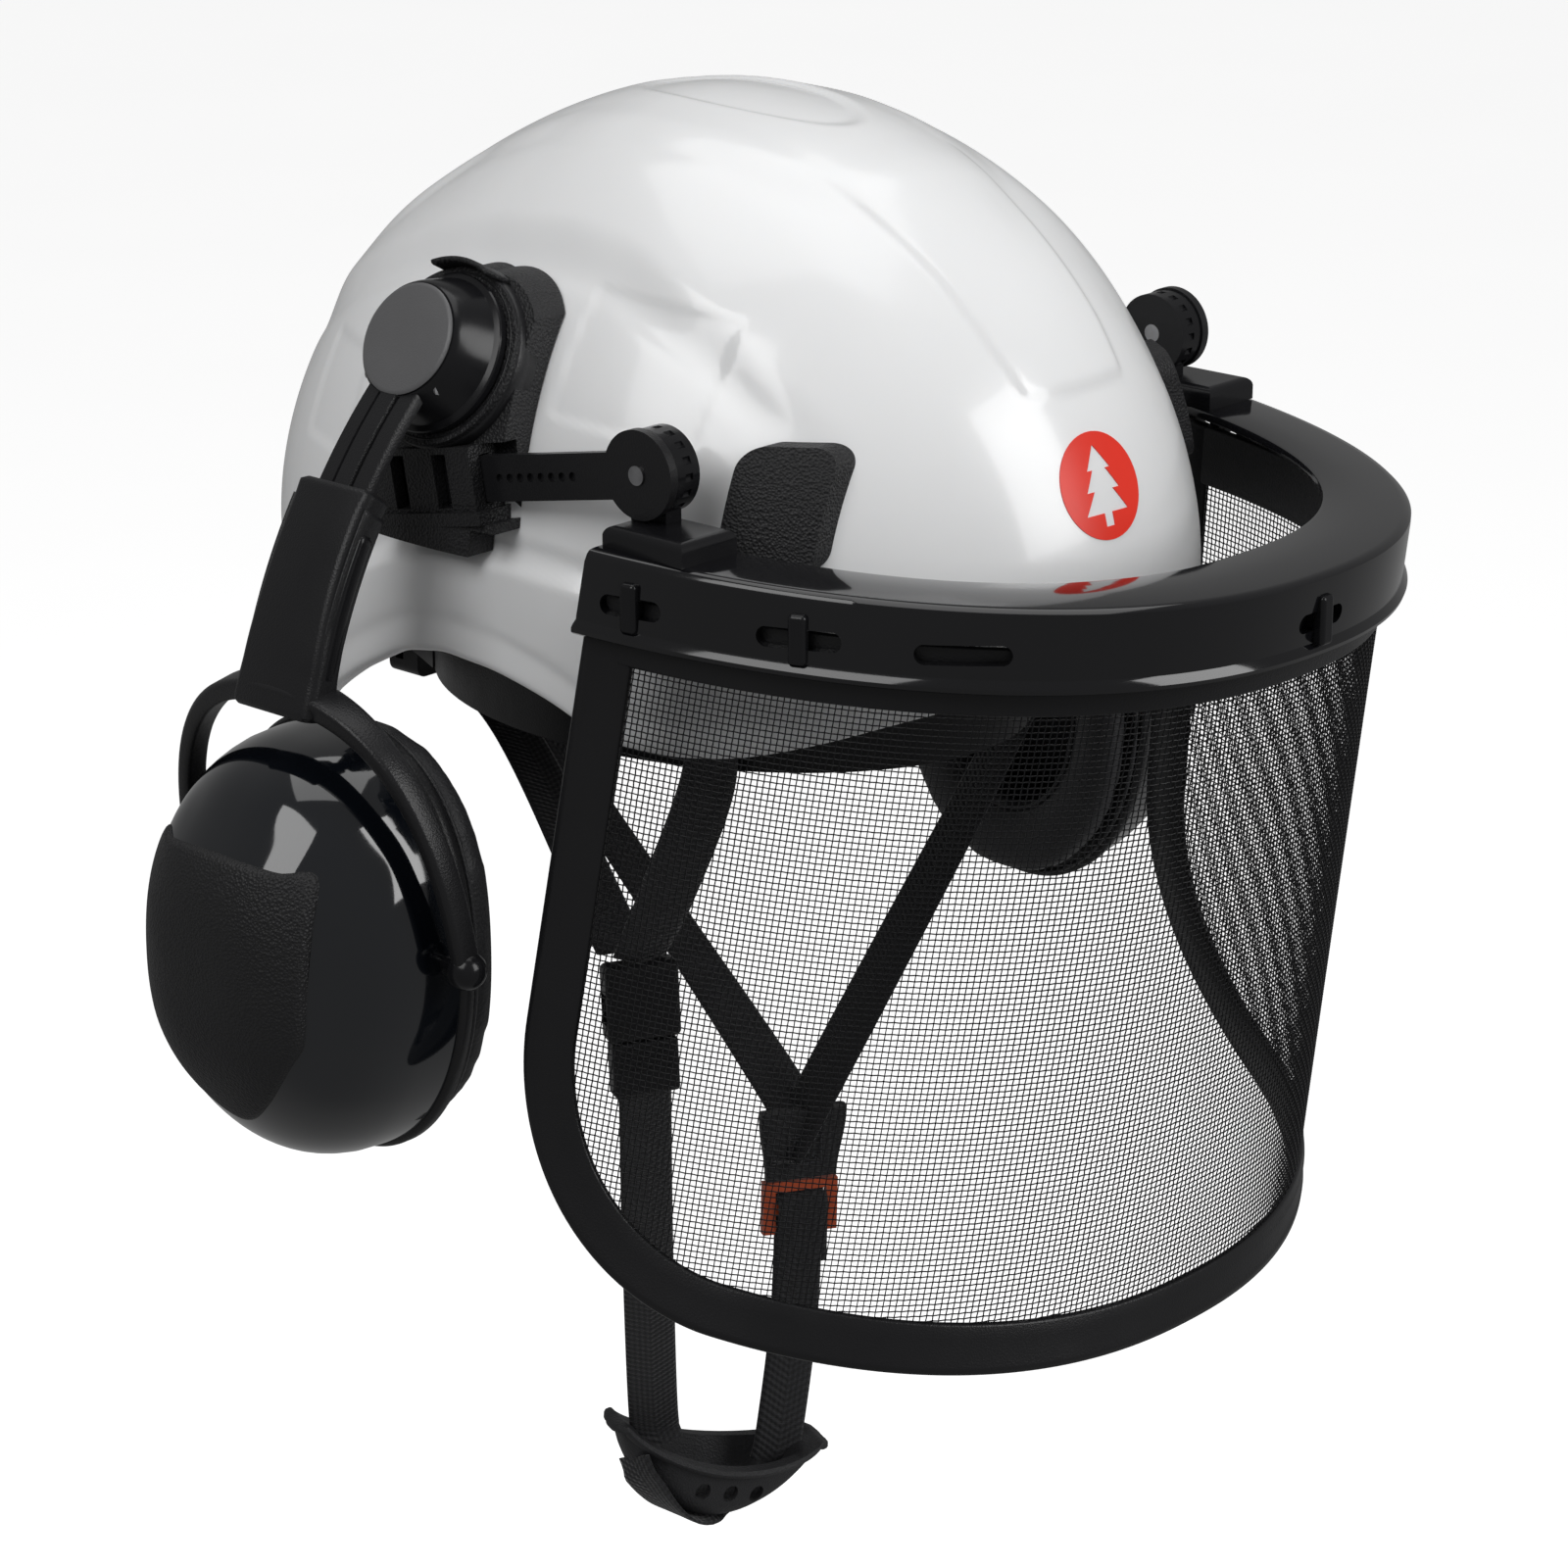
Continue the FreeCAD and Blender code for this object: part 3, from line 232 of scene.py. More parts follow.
OPEN_FOAM = foam("cup_foam", (0.040, 0.040, 0.043), 700.0, 0.9)
CLOTH = foam("sweatband_cloth", (0.032, 0.032, 0.036), 1500.0, 0.5)
SKIN = leatherette("cushion_skin", (0.014, 0.014, 0.016))


# ---- mesh helpers -----------------------------------------------------------------------------
def piece(name, points, faces, body, material, slot, node=None, smooth=True, uv=None):
    """New object from points in millimetres; node is the CAD piece it stands for."""
    data = bpy.data.meshes.new(name)
    data.from_pydata([tuple(p) for p in np.asarray(points, float) * MM], [],
                     [tuple(int(i) for i in f) for f in faces])
    data.update()
    if uv is not None:
        layer = data.uv_layers.new(name="UVMap")
        index = np.zeros(len(data.loops), np.int64)
        data.loops.foreach_get("vertex_index", index)
        layer.data.foreach_set("uv", np.asarray(uv, np.float32)[index].ravel())
    obj = bpy.data.objects.new(name, data)
    bpy.context.scene.collection.objects.link(obj)
    data.materials.append(material)
    if smooth:
        data.polygons.foreach_set("use_smooth", [True] * len(data.polygons))
    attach(obj, body)
    if node:
        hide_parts(*([node] if isinstance(node, str) else node))
    return obj


def grid_faces(rows, cols, close_rows=False, close_cols=False, flip=False):
    faces = []
    for i in range(rows if close_rows else rows - 1):
        for j in range(cols if close_cols else cols - 1):
            a, b = i * cols + j, i * cols + (j + 1) % cols
            c, d = ((i + 1) % rows) * cols + (j + 1) % cols, ((i + 1) % rows) * cols + j
            faces.append((a, d, c, b) if flip else (a, b, c, d))
    return faces


def sweep(centres, sides, ups, section, closed=False):
    """Section points (across, up) carried along a path; open ends are capped by a fan."""
    centres, sides, ups = (np.asarray(v, float) for v in (centres, sides, ups))
    rows, cols = len(centres), np.asarray(section[0] if np.ndim(section[0]) == 2 else section).shape[0]
    points = []
    for i in range(rows):
        part = np.asarray(section[i] if np.ndim(section[0]) == 2 else section, float)
        points.append(centres[i] + part[:, :1] * sides[i] + part[:, 1:] * ups[i])
    points = np.concatenate(points)
    faces = grid_faces(rows, cols, close_rows=closed, close_cols=True)
    if not closed:
        faces.append(tuple(range(cols))[::-1])
        faces.append(tuple((rows - 1) * cols + j for j in range(cols)))
    return points, faces


def unit(v):
    v = np.asarray(v, float)
    return v / np.maximum(np.linalg.norm(v, axis=-1, keepdims=True), 1e-12)


def rounded_rect(width, height, radius, steps=4):
    """Closed section, anticlockwise, centred on the path."""
    radius = min(radius, width / 2 - 1e-3, height / 2 - 1e-3)
    out = []
    for cx, cy, start in ((1, 1, 0), (-1, 1, 90), (-1, -1, 180), (1, -1, 270)):
        for k in range(steps + 1):
            a = math.radians(start + 90.0 * k / steps)
            out.append((cx * (width / 2 - radius) + radius * math.cos(a),
                        cy * (height / 2 - radius) + radius * math.sin(a)))
    return np.array(out)


def catmull(points, count):
    """Smooth path through the given points, evenly spaced along its length."""
    p = np.asarray(points, float)
    p = np.vstack([2 * p[0] - p[1], p, 2 * p[-1] - p[-2]])
    out = []
    for i in range(1, len(p) - 2):
        t = np.linspace(0, 1, 24, endpoint=False)[:, None]
        a, b, c, d = p[i - 1], p[i], p[i + 1], p[i + 2]
        out.append(0.5 * (2 * b + (c - a) * t + (2 * a - 5 * b + 4 * c - d) * t ** 2
                          + (3 * b - a - 3 * c + d) * t ** 3))
    out = np.vstack(out + [p[-2][None]])
    run = np.concatenate([[0], np.cumsum(np.linalg.norm(np.diff(out, axis=0), axis=1))])
    want = np.linspace(0, run[-1], count)
    return np.stack([np.interp(want, run, out[:, k]) for k in range(out.shape[1])], 1)


def smoothstep(x, low, high):
    t = np.clip((np.asarray(x, float) - low) / (high - low), 0.0, 1.0)
    return t * t * (3.0 - 2.0 * t)


def lathe(name, start, axis, profile, body, material, slot, node=None, turns=96):
    """Turned piece: profile is (distance along the axis, radius) in millimetres."""
    axis = unit(axis)
    side = unit(np.cross(axis, (0.0, 1.0, 0.0) if abs(axis[1]) < 0.9 else (1.0, 0.0, 0.0)))
    other = np.cross(axis, side)
    angles = np.linspace(0, 2 * np.pi, turns, endpoint=False)
    ring = np.cos(angles)[:, None] * side + np.sin(angles)[:, None] * other
    points = np.concatenate([np.asarray(start, float) + axis * d + ring * r for d, r in profile])
    faces = grid_faces(len(profile), turns, close_cols=True, flip=True)
    faces.append(tuple(range(turns)))
    faces.append(tuple((len(profile) - 1) * turns + j for j in range(turns))[::-1])
    return piece(name, points, faces, body, material, slot, node)


def cut_with(obj, cutters):
    """Subtract helper objects from obj, then remove them."""
    for cutter in cutters:
        mod = obj.modifiers.new("cut", "BOOLEAN")
        mod.object, mod.operation, mod.solver = cutter, "DIFFERENCE", "EXACT"
    apply_modifiers(obj)
    for cutter in cutters:
        bpy.data.objects.remove(cutter)


def apply_modifiers(obj):
    graph = bpy.context.evaluated_depsgraph_get()
    data = bpy.data.meshes.new_from_object(obj.evaluated_get(graph), depsgraph=graph)
    obj.modifiers.clear()
    obj.data = data


def helper(name, points, faces):
    """Temporary object, used only as a cutter."""
    data = bpy.data.meshes.new(name)
    data.from_pydata([tuple(p) for p in np.asarray(points, float) * MM], [],
                     [tuple(int(i) for i in f) for f in faces])
    obj = bpy.data.objects.new(name, data)
    bpy.context.scene.collection.objects.link(obj)
    return obj


def soften(obj, width, segments=3, angle=28.0):
    """Moulded edge radius."""
    mod = obj.modifiers.new("edge_radius", "BEVEL")
    mod.width, mod.segments, mod.limit_method = width * MM, segments, "ANGLE"
    mod.angle_limit = math.radians(angle)
    obj.data.polygons.foreach_set("use_smooth", [True] * len(obj.data.polygons))
    sharp = obj.modifiers.new("flat_faces", "WEIGHTED_NORMAL")
    sharp.keep_sharp = True


def mirror_points(points):
    return np.asarray(points, float) * np.array([-1.0, 1.0, 1.0])


def flip_faces(faces):
    return [tuple(f)[::-1] for f in faces]


SIDES = ((-1, "right"), (1, "left"))


def both(name, points, faces, body, material, slot, node=None, **more):
    """The piece on the wearer's right, and its mirror image on the left."""
    made = []
    for sign, side in SIDES:
        p = points if sign < 0 else mirror_points(points)
        f = faces if sign < 0 else flip_faces(faces)
        at = "%s_%s" % (body, side) if body in ("hub", "arm", "yoke", "cup", "visor_arm") else body
        made.append(piece("%s_%s" % (name, side), p, f, at, material, slot,
                          "%s_%s" % (node, side) if node else None, **more))
    return made


# ---- shell ------------------------------------------------------------------------------------
HALF = np.array([108.25, 142.0, 126.0])
PLAN_N, RISE_N = 1.97, 1.87
WALL = 3.0
BRIM = np.array([(-160, 2), (-128, -9), (-115, -13.5), (-101, -19), (-88, -23), (-79, -25), (-66, -26),
                 (-57, -25),
                 (-49, -22.5), (-36, -14.5), (-27, -11), (-17,
                                                          -8.2), (0,
                                                                  -6.5), (16, -9.5), (38, -20.5), (60, -33),
                 (86, -47), (120, -50.5), (160, -54)], float)
UPPER_FOLD = np.array([(-135, 30), (-100, 48), (-77, 62), (-60, 74), (-29, 88), (-3, 92), (25, 90), (51, 83),
                       (80, 71),
                       (104, 57), (135, 34)], float)
CROWN_FOLD = np.array([(-140, 88), (-90, 94), (-60, 104), (-28, 113), (0, 115), (29, 113), (60, 103),
                       (79, 86), (110, 62),
                       (140, 40)], float)


def curve_at(table, y):
    """Smooth reading of a (y, z) table."""
    t = np.linspace(0, 1, 9)[:, None] * 8 - 4
    return np.mean([np.interp(np.asarray(y) + float(d[0]), table[:, 0], table[:, 1]) for d in t], axis=0)


def shell_base(phi, beta):
    c, s, cb, sb = np.cos(phi), np.sin(phi), np.cos(beta), np.sin(beta)
    flat = np.sign(cb) * np.abs(cb) ** (2 / RISE_N)
    x = HALF[0] * np.sign(c) * np.abs(c) ** (2 / PLAN_N) * flat
    y = HALF[1] * np.sign(s) * np.abs(s) ** (2 / PLAN_N) * flat
    z = HALF[2] * np.sign(sb) * np.abs(sb) ** (2 / RISE_N)
    return np.stack([x, y, z], -1)


def shell_normal(p):
    g = np.sign(p) * np.abs(p / HALF) ** np.array([PLAN_N - 1, PLAN_N - 1, RISE_N - 1]) / HALF
    return unit(g)


def shell_relief(p):
    """Moulded folds and panels: outward offset of the shell's skin at a point."""
    x, y, z = p[..., 0], p[..., 1], p[..., 2]
    side = np.abs(x)
    swell = 1.0 - np.sqrt(np.sum((p / HALF) ** 2, axis=-1))
    relief = swell * np.sum(p * shell_normal(p), axis=-1) * smoothstep(-y, -25, 35) * smoothstep(z, -10, 15)
    relief = relief - 1.9 * smoothstep(y, 0, 70) * smoothstep(z, 60, 100)
    ear_fold = 21.0 - ((y + 8.0) / np.where(y > -8, 12.65, 21.0)) ** 2
    window = smoothstep(y, -64, -46) * smoothstep(-y, -78, -52) * smoothstep(side, 40, 70)
    relief += 2.6 * smoothstep(ear_fold - z, -0.6, 5.0) * window
    relief -= 0.7 * np.exp(-((ear_fold - z + 2.4) / 1.8) ** 2) * window
    fold = curve_at(UPPER_FOLD, y)
    ends = smoothstep(y, -104, -66) * smoothstep(-y, -132, -96) * smoothstep(side, 22, 46)
    relief += (1.9 * smoothstep(z - fold, -1.5, 7.5) - 0.5 * np.exp(-((z - fold + 3.5) / 3.0) ** 2)) * ends
    crown = curve_at(CROWN_FOLD, y)
    ends = smoothstep(y, -96, -52) * smoothstep(-y, -112, -78)
    relief += 1.5 * smoothstep(z - crown, -1.2, 5.0) * ends * smoothstep(side, 6, 16)
    relief += 1.5 * ends * (1 - smoothstep(side, 6, 16))
    half = np.interp(y, [-122, -117, -108, -90, -70, -58], [17.5, 19.5, 21.5, 23, 25, 26])
    inside = smoothstep(half - side, -1.0, 2.0) * smoothstep(z, 59.5, 63.0) * smoothstep(-y, 52, 70)
    relief += 0.95 * inside
    lens = 1.0 - np.sqrt((x / 19.0) ** 2 + ((y + 8.0) / 38.0) ** 2)
    relief -= 1.4 * smoothstep(lens, 0.0, 0.16) * (z > 0)
    panel = np.minimum(np.minimum(y + 66, -24 - y) / 3.0,
                       np.minimum(z - 50 - 0.12 * (y + 66), 84 - z + 0.16 * (y + 40)) / 3.0)
    relief -= 0.45 * smoothstep(panel, 0.0, 0.5) * smoothstep(side, 30, 45)
    rear = np.minimum(np.minimum(y - 52, 80 - y) / 3.0, np.minimum(z - 32, 60 - z) / 3.0)
    relief -= 0.45 * smoothstep(rear, 0.0, 0.5) * smoothstep(side, 30, 45)
    return relief


def brim_angles(phi, lift=0.0):
    """Elevation angle at which each turn of the dome meets the brim line, raised by lift."""
    lo, hi = np.full(len(phi), -0.75), np.full(len(phi), 0.9)
    for _ in range(44):
        mid = (lo + hi) / 2
        p = shell_base(phi, mid)
        below = p[:, 2] < curve_at(BRIM, p[:, 1]) + lift
        lo, hi = np.where(below, mid, lo), np.where(below, hi, mid)
    return (lo + hi) / 2


def build_liner():
    """Crushable foam dome that sits against the shell's inner wall."""
    turns, rows = 160, 60
    phi = np.linspace(0, 2 * np.pi, turns, endpoint=False) + np.pi / turns
    start = brim_angles(phi, 6.0)
    beta = start[None] + (np.pi / 2 - 0.004 - start[None]) * np.linspace(0, 1, rows)[:, None]
    base = shell_base(phi[None], beta)
    normal = shell_normal(base)
    climb = np.linalg.norm(base - base[:1], axis=-1)
    round_off = 4.0 * np.clip(1 - climb / 4.0, 0, 1) ** 2
    outer = base - normal * (WALL + 0.4 + 0.4 * round_off)[..., None]
    inner = base - normal * (WALL + 13.0 - round_off)[..., None]
    full = np.concatenate([outer[::-1], inner])
    faces = grid_faces(len(full), turns, close_cols=True)
    faces += [tuple(range(turns))[::-1], tuple((len(full) - 1) * turns + j for j in range(turns))]
    liner = piece("liner_dome", full.reshape(-1, 3), faces, "shell_body", LINER, "liner_foam", "impact_liner")
    liner.data.set_sharp_from_angle(angle=math.radians(50))


def build_shell():
    turns, rows = ((430, 165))
    phi = np.linspace(0, 2 * np.pi, turns, endpoint=False) + np.pi / turns
    start = brim_angles(phi)
    t = np.linspace(0, 1, rows) ** 1.04
    beta = start[None] + (np.pi / 2 - 0.004 - start[None]) * t[:, None]
    base = shell_base(phi[None], beta)
    normal = shell_normal(base)
    edge = np.linalg.norm(base - base[:1], axis=-1)
    lip = 0.9 * np.exp(-(edge / 4.0) ** 2) - 0.35 * np.exp(-((edge - 7.5) / 2.2) ** 2)
    outer = base + normal * (shell_relief(base) + lip)[..., None]
    inner = base - normal * WALL
    down = unit(base[0] - base[2])
    thick = outer[0] - inner[0]
    rim = []
    for k in range(1, 8):
        a = math.pi * k / 8
        rim.append((outer[0] + inner[0]) / 2 + thick / 2 * math.cos(a) + down * 2.1 * math.sin(a))
    inner_rows = list(range(0, rows, 6)) + [rows - 1]
    stack = np.concatenate([outer[::-1], np.array(rim), inner[inner_rows]])
    count = len(stack)
    points = stack.reshape(-1, 3)
    faces = grid_faces(count, turns, close_cols=True)
    faces.append(tuple(range(turns))[::-1])
    faces.append(tuple((count - 1) * turns + j for j in range(turns)))
    shell = piece("helmet_shell", points, faces, "shell_body", WHITE, "shell_white", "shell")
    cutters = []
    for y, z, lean in ((-45, 67, 45), (-12, 76, 20), (65, 45, -30)):
        for sign in (-1, 1):
            a = np.linspace(0, 2 * np.pi, 32, endpoint=False)
            outline = np.stack([np.cos(a) * 1.9, np.sin(a) * 1.9 + np.sign(np.sin(a)) * 6.2], 1)
            c, s = math.cos(math.radians(lean)), math.sin(math.radians(lean))
            yz = np.stack([y + outline[:, 0] * c - outline[:, 1] * s,
                           z + outline[:, 0] * s + outline[:, 1] * c], 1)
            near = np.column_stack([np.full(32, sign * 40.0), yz])
            far = np.column_stack([np.full(32, sign * 130.0), yz])
            sides = grid_faces(2, 32, close_cols=True)
            cutters.append(helper("slot", np.vstack([near, far]),
                                  sides + [tuple(range(32))[::-1], tuple(range(32, 64))]))
    cut_with(shell, cutters)
    shell.data.polygons.foreach_set("use_smooth", [True] * len(shell.data.polygons))
    shell.data.set_sharp_from_angle(angle=math.radians(40))
    return shell


def on_shell(points, lift):
    """Points moved along the shell's normal onto its skin, lift millimetres proud."""
    p = np.asarray(points, float)
    for _ in range(30):
        level = (np.abs(p[:, 0] / HALF[0]) ** PLAN_N
                 + np.abs(p[:, 1] / HALF[1]) ** PLAN_N) ** (RISE_N / PLAN_N) \
            + np.abs(p[:, 2] / HALF[2]) ** RISE_N
        n = shell_normal(p)
        p = p - n * ((level ** (1 / RISE_N) - 1.0) * np.sum(p * n, 1))[:, None]
    n = shell_normal(p)
    return p + n * (shell_relief(p) + lift)[:, None]


def inside_loop(p, loop):
    """True where a point lies inside a closed outline."""
    a, b = loop, np.roll(loop, -1, axis=0)
    spans = (a[:, 1] > p[1]) != (b[:, 1] > p[1])
    a, b = a[spans], b[spans]
    return np.sum(p[0] < a[:, 0] + (p[1] - a[:, 1]) * (b[:, 0] - a[:, 0]) / (b[:, 1] - a[:, 1])) % 2


def patch(outline, holes, spacing):
    """Flat outline with holes, filled with evenly sized triangles: (points, faces)."""
    loops = [np.asarray(outline, float)] + [np.asarray(h, float) for h in holes]
    verts, edges = [], []
    for loop in loops:
        first = len(verts)
        verts += [Vector(p) for p in loop]
        edges += [(first + i, first + (i + 1) % len(loop)) for i in range(len(loop))]
    lo, hi = loops[0].min(0), loops[0].max(0)
    border = np.vstack(loops)
    for i, u in enumerate(np.arange(lo[0], hi[0], spacing)):
        for v in np.arange(lo[1] + (i % 2) * spacing / 2, hi[1], spacing):
            if np.min(np.hypot(border[:, 0] - u, border[:, 1] - v)) > spacing * 0.45:
                verts.append(Vector((u, v)))
    points, _, faces, _, _, _ = delaunay_2d_cdt(verts, edges, [], 0, 1e-6)
    points = np.array([tuple(p) for p in points])
    faces = [f for f in faces if sum(inside_loop(points[f].mean(0), loop) for loop in loops) % 2]
    used = sorted({i for f in faces for i in f})
    remap = {old: new for new, old in enumerate(used)}
    return points[used], [tuple(remap[i] for i in f) for f in faces]


def build_mark():
    """Plain red roundel with a fir-tree opening on the brow."""
    a = np.linspace(0, 2 * np.pi, 72, endpoint=False)
    disc = np.stack([np.cos(a), np.sin(a)], 1) * 14.0
    right = [(1.5, -10.5), (1.5, -7.0), (7.6, -7.0), (3.4, -1.2), (5.9, -1.2), (2.4, 4.2), (4.2, 4.2),
             (0.0, 10.6)]
    tree = np.array(right + [(-x, y) for x, y in right[-2::-1]])
    dense = []
    for p, q in zip(tree, np.roll(tree, -1, axis=0)):
        steps = max(1, int(np.hypot(*(q - p)) / 1.2))
        dense += [p + (q - p) * k / steps for k in range(steps)]
    flat, faces = patch(disc, [dense], 1.6)
    centre = np.array([-5.0, -133.0, 39.0])
    n = shell_normal(centre[None])[0]
    across = unit(np.cross((0, 0, 1), n))
    up = np.cross(n, across)
    skin = on_shell(centre + flat[:, :1] * across + flat[:, 1:] * up, 0.22)
    back = on_shell(centre + flat[:, :1] * across + flat[:, 1:] * up, -0.25)
    return thicken("brow_mark", skin, back, faces, "shell_body", RED, "shell_white")


def thicken(name, front, back, faces, body, material, slot, node=None):
    """Closed piece between two matching skins."""
    count = len(front)
    edges = {}
    for f in faces:
        for a, b in zip(f, f[1:] + f[:1]):
            edges[(a, b)] = edges.get((a, b), 0) + 1
    rim = [(a, b) for a, b in edges if (b, a) not in edges]
    walls = [(b, a, a + count, b + count) for a, b in rim]
    reverse = [tuple(i + count for i in f[::-1]) for f in faces]
    obj = piece(name, np.vstack([front, back]), list(faces) + reverse + walls, body, material, slot, node)
    obj.data.set_sharp_from_angle(angle=math.radians(40))
    return obj


# ---- visor ------------------------------------------------------------------------------------
PIVOT = np.array([-70.2, 51.4])
TILT = math.tan(math.radians(2.5))
LEAN = math.cos(math.radians(11.0))
OUTER = (124.7, 178.3, 2.23)
INNER = (101.8, 152.2, 2.39)
RIM_Y, END_Y = -24.0, -65.0
FLARE, SHORTEN, BACK = 0.100, 0.034, 0.114
SHEET_IN = 4.8


def plate_height(y):
    return PIVOT[1] - 17.5 + (y - PIVOT[0]) * TILT


def rim(turn, half_x, power):
    """U-shaped plan curve; turn runs 0..1 from the right leg's end to the left leg's end."""
    first = math.asin(((RIM_Y - END_Y) / OUTER[1]) ** (power / 2.0))
    t = first + (math.pi - 2 * first) * np.asarray(turn, float)
    c, s = np.cos(t), np.sin(t)
    return -np.sign(c) * np.abs(c) ** (2 / power) * half_x, s ** (2 / power)


def sheet(turn, drop, outward=0.0):
    """Point on the visor's curved sheet: turn along the rim, drop down it, offset outward."""
    turn, drop = np.broadcast_arrays(np.asarray(turn, float), np.asarray(drop, float))
    depth = OUTER[1] - SHORTEN * drop
    centre = RIM_Y + BACK * drop
    x, s = rim(turn, OUTER[0] + FLARE * drop + outward, OUTER[2])
    y = centre - (depth + outward) * s
    top_y = RIM_Y - OUTER[1] * s
    return np.stack([x, y, plate_height(top_y) - drop * LEAN], -1)


def sheet_axes(turn, drop, outward):
    """Unit directions on the sheet: along the rim, down, and outward."""
    e, d = 1e-4, 0.05
    along = unit(sheet(np.minimum(turn + e, 1.0), drop, outward)
                 - sheet(np.maximum(turn - e, 0.0), drop, outward))
    down = unit(sheet(turn, drop + d, outward) - sheet(turn, drop - d, outward))
    return along, down, unit(np.cross(down, along))


def drop_at(turn, target):
    """Drop at which the sheet meets the side outline, a function giving height for depth y."""
    drop = np.full_like(np.asarray(turn, float), 150.0)
    for _ in range(40):
        p = sheet(turn, drop, -SHEET_IN)
        drop = drop + (p[..., 2] - target(p[..., 1])) * 0.8
    return drop


def turn_at(y, drop):
    """Turn at which the sheet reaches a given y, on the wearer's right."""
    lo, hi = np.zeros_like(y), np.full_like(y, 0.5)
    for _ in range(40):
        mid = (lo + hi) / 2
        before = sheet(mid, drop, -SHEET_IN)[..., 1] > y
        lo, hi = np.where(before, mid, lo), np.where(before, hi, mid)
    return (lo + hi) / 2


def drop_of(y, z):
    """Drop of a point seen from the side."""
    drop = np.full_like(y, 100.0)
    for _ in range(40):
        depth = OUTER[1] - SHORTEN * drop
        s = (RIM_Y + BACK * drop - y) / (depth - SHEET_IN)
        drop = (plate_height(RIM_Y - OUTER[1] * s) - z) / LEAN
    return drop


def border_path(inset):
    """The frame border's centre line as (turn, drop), right top corner to left top corner."""
    i = inset
    rear_low, sill_start = np.array([-50.0 - i, -92.0]), np.array([-98.0 - 0.35 * i, -169.0 + 0.94 * i])
    mid = np.array([-61.0 - 0.77 * i, -140.0 + 0.64 * i])
    top = np.array([-68.5 - i, 60.0])
    first = top + (rear_low - top) * np.linspace(0.24, 1, 34)[:, None]
    arc = circle_through(rear_low, mid, sill_start, 40)
    yz = np.vstack([first[:-1], arc])
    drop = drop_of(yz[:, 0], yz[:, 1])
    turn = turn_at(yz[:, 0], drop)
    slope = (-188.5 + 1.05 * i - sill_start[1]) / (-172.0 - sill_start[0])
    t2 = np.linspace(turn[-1], 0.5, 46)[1:]
    rest = drop_at(t2, lambda y: np.maximum(sill_start[1] + slope * (y - sill_start[0]), -188.5 + 1.05 * i))
    turn, drop = np.concatenate([turn, t2]), np.concatenate([drop, rest])
    return np.concatenate([turn, 1 - turn[-2::-1]]), np.concatenate([drop, drop[-2::-1]])


def circle_through(a, b, c, count):
    """Points along the arc from a through b to c."""
    m = np.array([b - a, c - a]) * 2
    centre = np.linalg.solve(m, np.array([b @ b - a @ a, c @ c - a @ a]))
    angles = [math.atan2(*(p - centre)[::-1]) for p in (a, b, c)]
    turn = (angles[2] - angles[0] + math.pi) % (2 * math.pi) - math.pi
    middle = (angles[1] - angles[0] + math.pi) % (2 * math.pi) - math.pi
    if turn * middle < 0:
        turn -= math.copysign(2 * math.pi, turn)
    a0 = angles[0] + turn * np.linspace(0, 1, count)
    return centre + np.linalg.norm(a - centre) * np.stack([np.cos(a0), np.sin(a0)], 1)


def resample(values, count):
    """Evenly spaced copies of rows of values, by distance over the first three columns."""
    run = np.concatenate([[0], np.cumsum(np.linalg.norm(np.diff(values[:, :3], axis=0), axis=1))])
    want = np.linspace(0, run[-1], count)
    return np.stack([np.interp(want, run, values[:, k]) for k in range(values.shape[1])], 1)


def build_frame():
    """Satin border moulded round the mesh, with a raised outer bead and a thin inner lip."""
    turn, drop = border_path(7.2)
    centre = sheet(turn, drop, -SHEET_IN)
    rows = resample(np.column_stack([centre, turn, drop]), 330)
    centre, turn, drop = rows[:, :3], rows[:, 3], rows[:, 4]
    _, _, out = sheet_axes(turn, drop, -SHEET_IN)
    ahead = unit(np.gradient(centre, axis=0))
    inward = unit(np.cross(out, ahead))
    w, h = 7.2, 1.8
    section = np.array([(-w + 0.3, -h), (-w, -h + 0.5), (-w, h - 0.2), (-w + 0.6, h + 0.35),
                        (-w + 2.6, h + 0.4),
                        (-w + 3.3, h - 0.1), (w - 4.4, h - 0.1), (w - 3.6,
                                                                  h - 0.6), (w - 0.5, h - 0.8), (w, h - 1.3),
                        (w, -h + 1.0), (w - 0.6, -h + 0.5), (w - 3.4, -h + 0.2), (w - 4.0, -h)])
    points, faces = sweep(centre, inward, out, section)
    frame_piece = piece("visor_border", points, faces, "visor", SATIN, "black_satin", "visor_frame")
    top_turn = np.linspace(0.012, 0.988, 200)
    _, down, out = sheet_axes(top_turn, np.full(200, 20.0), -SHEET_IN)
    rail = sheet(top_turn, np.full(200, 20.0), -SHEET_IN)
    points, faces = sweep(rail, down, out, rounded_rect(18.0, 2.6, 0.9))
    piece("visor_top_rail", points, faces, "visor", SATIN, "black_satin")
    return frame_piece


